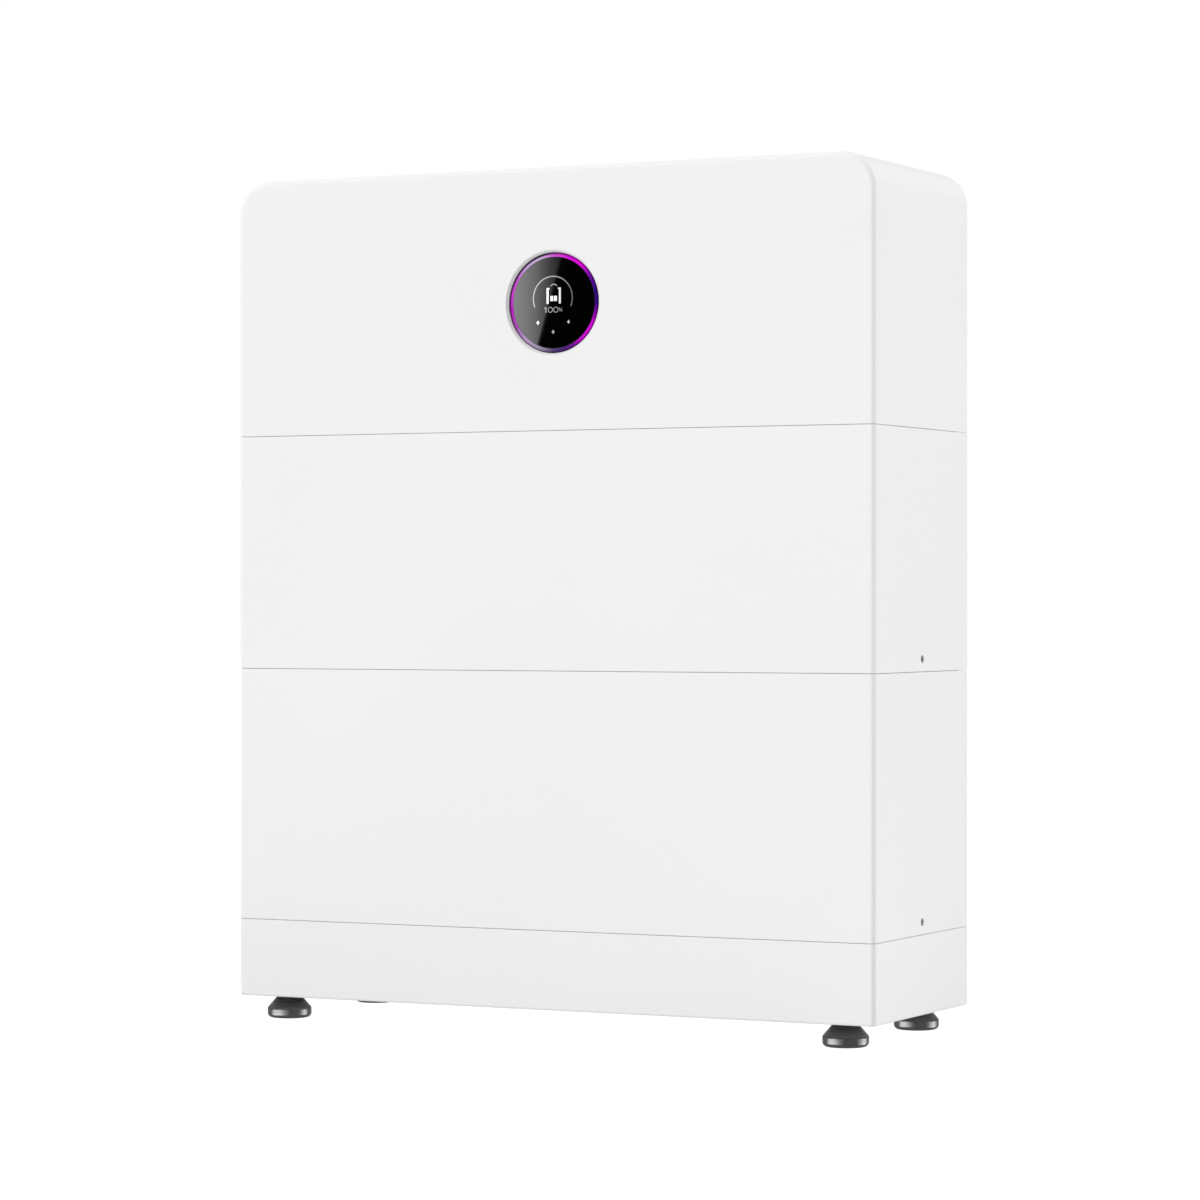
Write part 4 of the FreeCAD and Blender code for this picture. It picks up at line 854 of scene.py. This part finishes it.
def soft_light(name, azimuth, elevation, strength):
    """A broad distant lamp; azimuth from the front and elevation in degrees."""
    lamp = bpy.data.lights.new(name, "SUN")
    lamp.angle = math.radians(LIGHT_SPREAD)
    lamp.energy = strength
    holder = bpy.data.objects.new(name, lamp)
    turn = math.radians(azimuth)
    rise = math.radians(elevation)
    towards = Vector((math.sin(turn) * math.cos(rise), -math.cos(turn) * math.cos(rise), math.sin(rise)))
    holder.rotation_euler = (-towards).to_track_quat("-Z", "Y").to_euler()
    holder.visible_glossy = False
    bpy.context.scene.collection.objects.link(holder)


def mirror_direction():
    """Middle of the glass, and the direction in which it mirrors the camera."""
    display = middle("display_glass")
    to_glass = display - CAMERA_PLACE
    return display, Vector((to_glass.x, -to_glass.y, to_glass.z)).normalized()


def card(name, corners, surface, mirrored=True):
    """A card of one or more four-cornered panels, seen by polished surfaces only, or by matt ones only."""
    faces = [tuple(range(first, first + 4)) for first in range(0, len(corners), 4)]
    piece = add_mesh(name, corners, faces)
    piece.data.materials.append(surface.material)
    piece.visible_camera = False
    piece.visible_shadow = False
    piece.visible_diffuse = not mirrored
    piece.visible_glossy = mirrored


def floor_card():
    """Grey card around the feet, so that less light comes up from below."""
    low = Vector(cad_bounds[0])
    high = Vector(cad_bounds[1])
    left, front = low.x - FLOOR_CARD_REACH, low.y - FLOOR_CARD_REACH
    right, rear = high.x + FLOOR_CARD_REACH, high.y + FLOOR_CARD_REACH
    level = FLOOR_CARD_LEVEL
    corners = [(left, front, level), (right, front, level), (right, rear, level), (left, rear, level)]
    surface = Surface("floor_card", roughness=1.0, Specular_IOR_Level=0.0)
    surface.colour(surface.noise(3.0), [(0.3, grey(FLOOR_CARD_GREY - 2)), (0.7, grey(FLOOR_CARD_GREY + 2))])
    card("floor_card", corners, surface, mirrored=False)


def black_flag():
    """Black card behind the bright one, so that the rest of the glass stays black."""
    display, mirrored = mirror_direction()
    centre = display + mirrored * (CARD_DISTANCE + FLAG_BEHIND)
    across = UP.cross(mirrored).normalized() * FLAG_HALF_WIDTH
    up = UP * FLAG_HALF_WIDTH
    surface = Surface("black_flag", roughness=1.0, Specular_IOR_Level=0.0)
    surface.colour(surface.noise(3.0), [(0.3, grey(1)), (0.7, grey(3))])
    corners = [centre - across - up, centre + across - up, centre + across + up, centre - across + up]
    card("black_flag", corners, surface)


def mirror_card():
    """A graded bright card whose slanted edge crosses the mirror image in the glass."""
    display, mirrored = mirror_direction()
    left = mirrored.cross(UP).normalized()
    tilt = math.radians(CARD_TILT)
    edge = UP * math.cos(tilt) - left * math.sin(tilt)
    outward = left * math.cos(tilt) + UP * math.sin(tilt)
    centre = display + mirrored * CARD_DISTANCE
    base = centre + left * CARD_SHIFT
    surface = Surface("card_light", roughness=1.0, Specular_IOR_Level=0.0)
    across = surface.nodes.new("ShaderNodeVectorMath")
    across.operation = "DOT_PRODUCT"
    across.inputs[1].default_value = left
    surface.links.new(surface.place, across.inputs[0])
    distance = surface.math("SUBTRACT", across.outputs["Value"], centre.dot(left) - CARD_FADE_START)
    share = surface.math("DIVIDE", distance, CARD_FADE)
    surface.colour(share, [(0.0, grey(2)), (1.0, grey(3))])
    surface.glow(surface.ramp(share, light_stops(CARD_TONES)), CARD_STRENGTH)
    reach = edge * CARD_HALF_LENGTH
    far = outward * CARD_WIDTH
    card("mirror_card", [base - reach, base + reach, base + reach + far, base - reach + far], surface)


def low_reflector(name, start, end, tones):
    """Curved bright card below the table's level, where the feet mirror it. Azimuths in degrees."""
    corners = []
    for first in range(start, end, REFLECTOR_STEP):
        edges = [math.radians(angle) for angle in (first, first + REFLECTOR_STEP)]
        for angle, level in (
            (edges[0], REFLECTOR_LEVELS[0]),
            (edges[1], REFLECTOR_LEVELS[0]),
            (edges[1], REFLECTOR_LEVELS[1]),
            (edges[0], REFLECTOR_LEVELS[1]),
        ):
            x = REFLECTOR_DISTANCE * math.sin(angle)
            y = -REFLECTOR_DISTANCE * math.cos(angle)
            corners.append((x, y, level))
    surface = Surface(name, roughness=1.0, Specular_IOR_Level=0.0)
    split = surface.nodes.new("ShaderNodeSeparateXYZ")
    surface.links.new(surface.place, split.inputs["Vector"])
    ahead = surface.math("MULTIPLY", split.outputs["Y"], -1.0)
    turn = surface.math("ARCTAN2", split.outputs["X"], ahead)
    past_start = surface.math("SUBTRACT", turn, math.radians(start))
    share = surface.math("DIVIDE", past_start, math.radians(end - start))
    surface.colour(share, [(0.0, grey(2)), (1.0, grey(4))])
    surface.glow(surface.ramp(share, light_stops(tones)), REFLECTOR_STRENGTH)
    card(name, corners, surface)


def studio_camera():
    """Level camera to the front right, at the middle of the stack's height."""
    data = bpy.data.cameras.new("camera")
    data.lens = CAMERA_LENS
    data.sensor_width = CAMERA_SENSOR
    data.clip_end = CAMERA_REACH
    camera = bpy.data.objects.new("camera", data)
    camera.location = CAMERA_PLACE
    camera.rotation_euler = (math.pi / 2, 0, math.radians(CAMERA_TURN))
    bpy.context.scene.collection.objects.link(camera)
    bpy.context.scene.camera = camera


studio_floor()
studio_world()
studio_camera()
for lamp in LAMPS:
    soft_light(*lamp)
floor_card()
black_flag()
mirror_card()
for reflector in REFLECTORS:
    low_reflector(*reflector)

bpy.context.scene.view_settings.view_transform = "Standard"
bpy.context.scene.view_settings.look = "None"
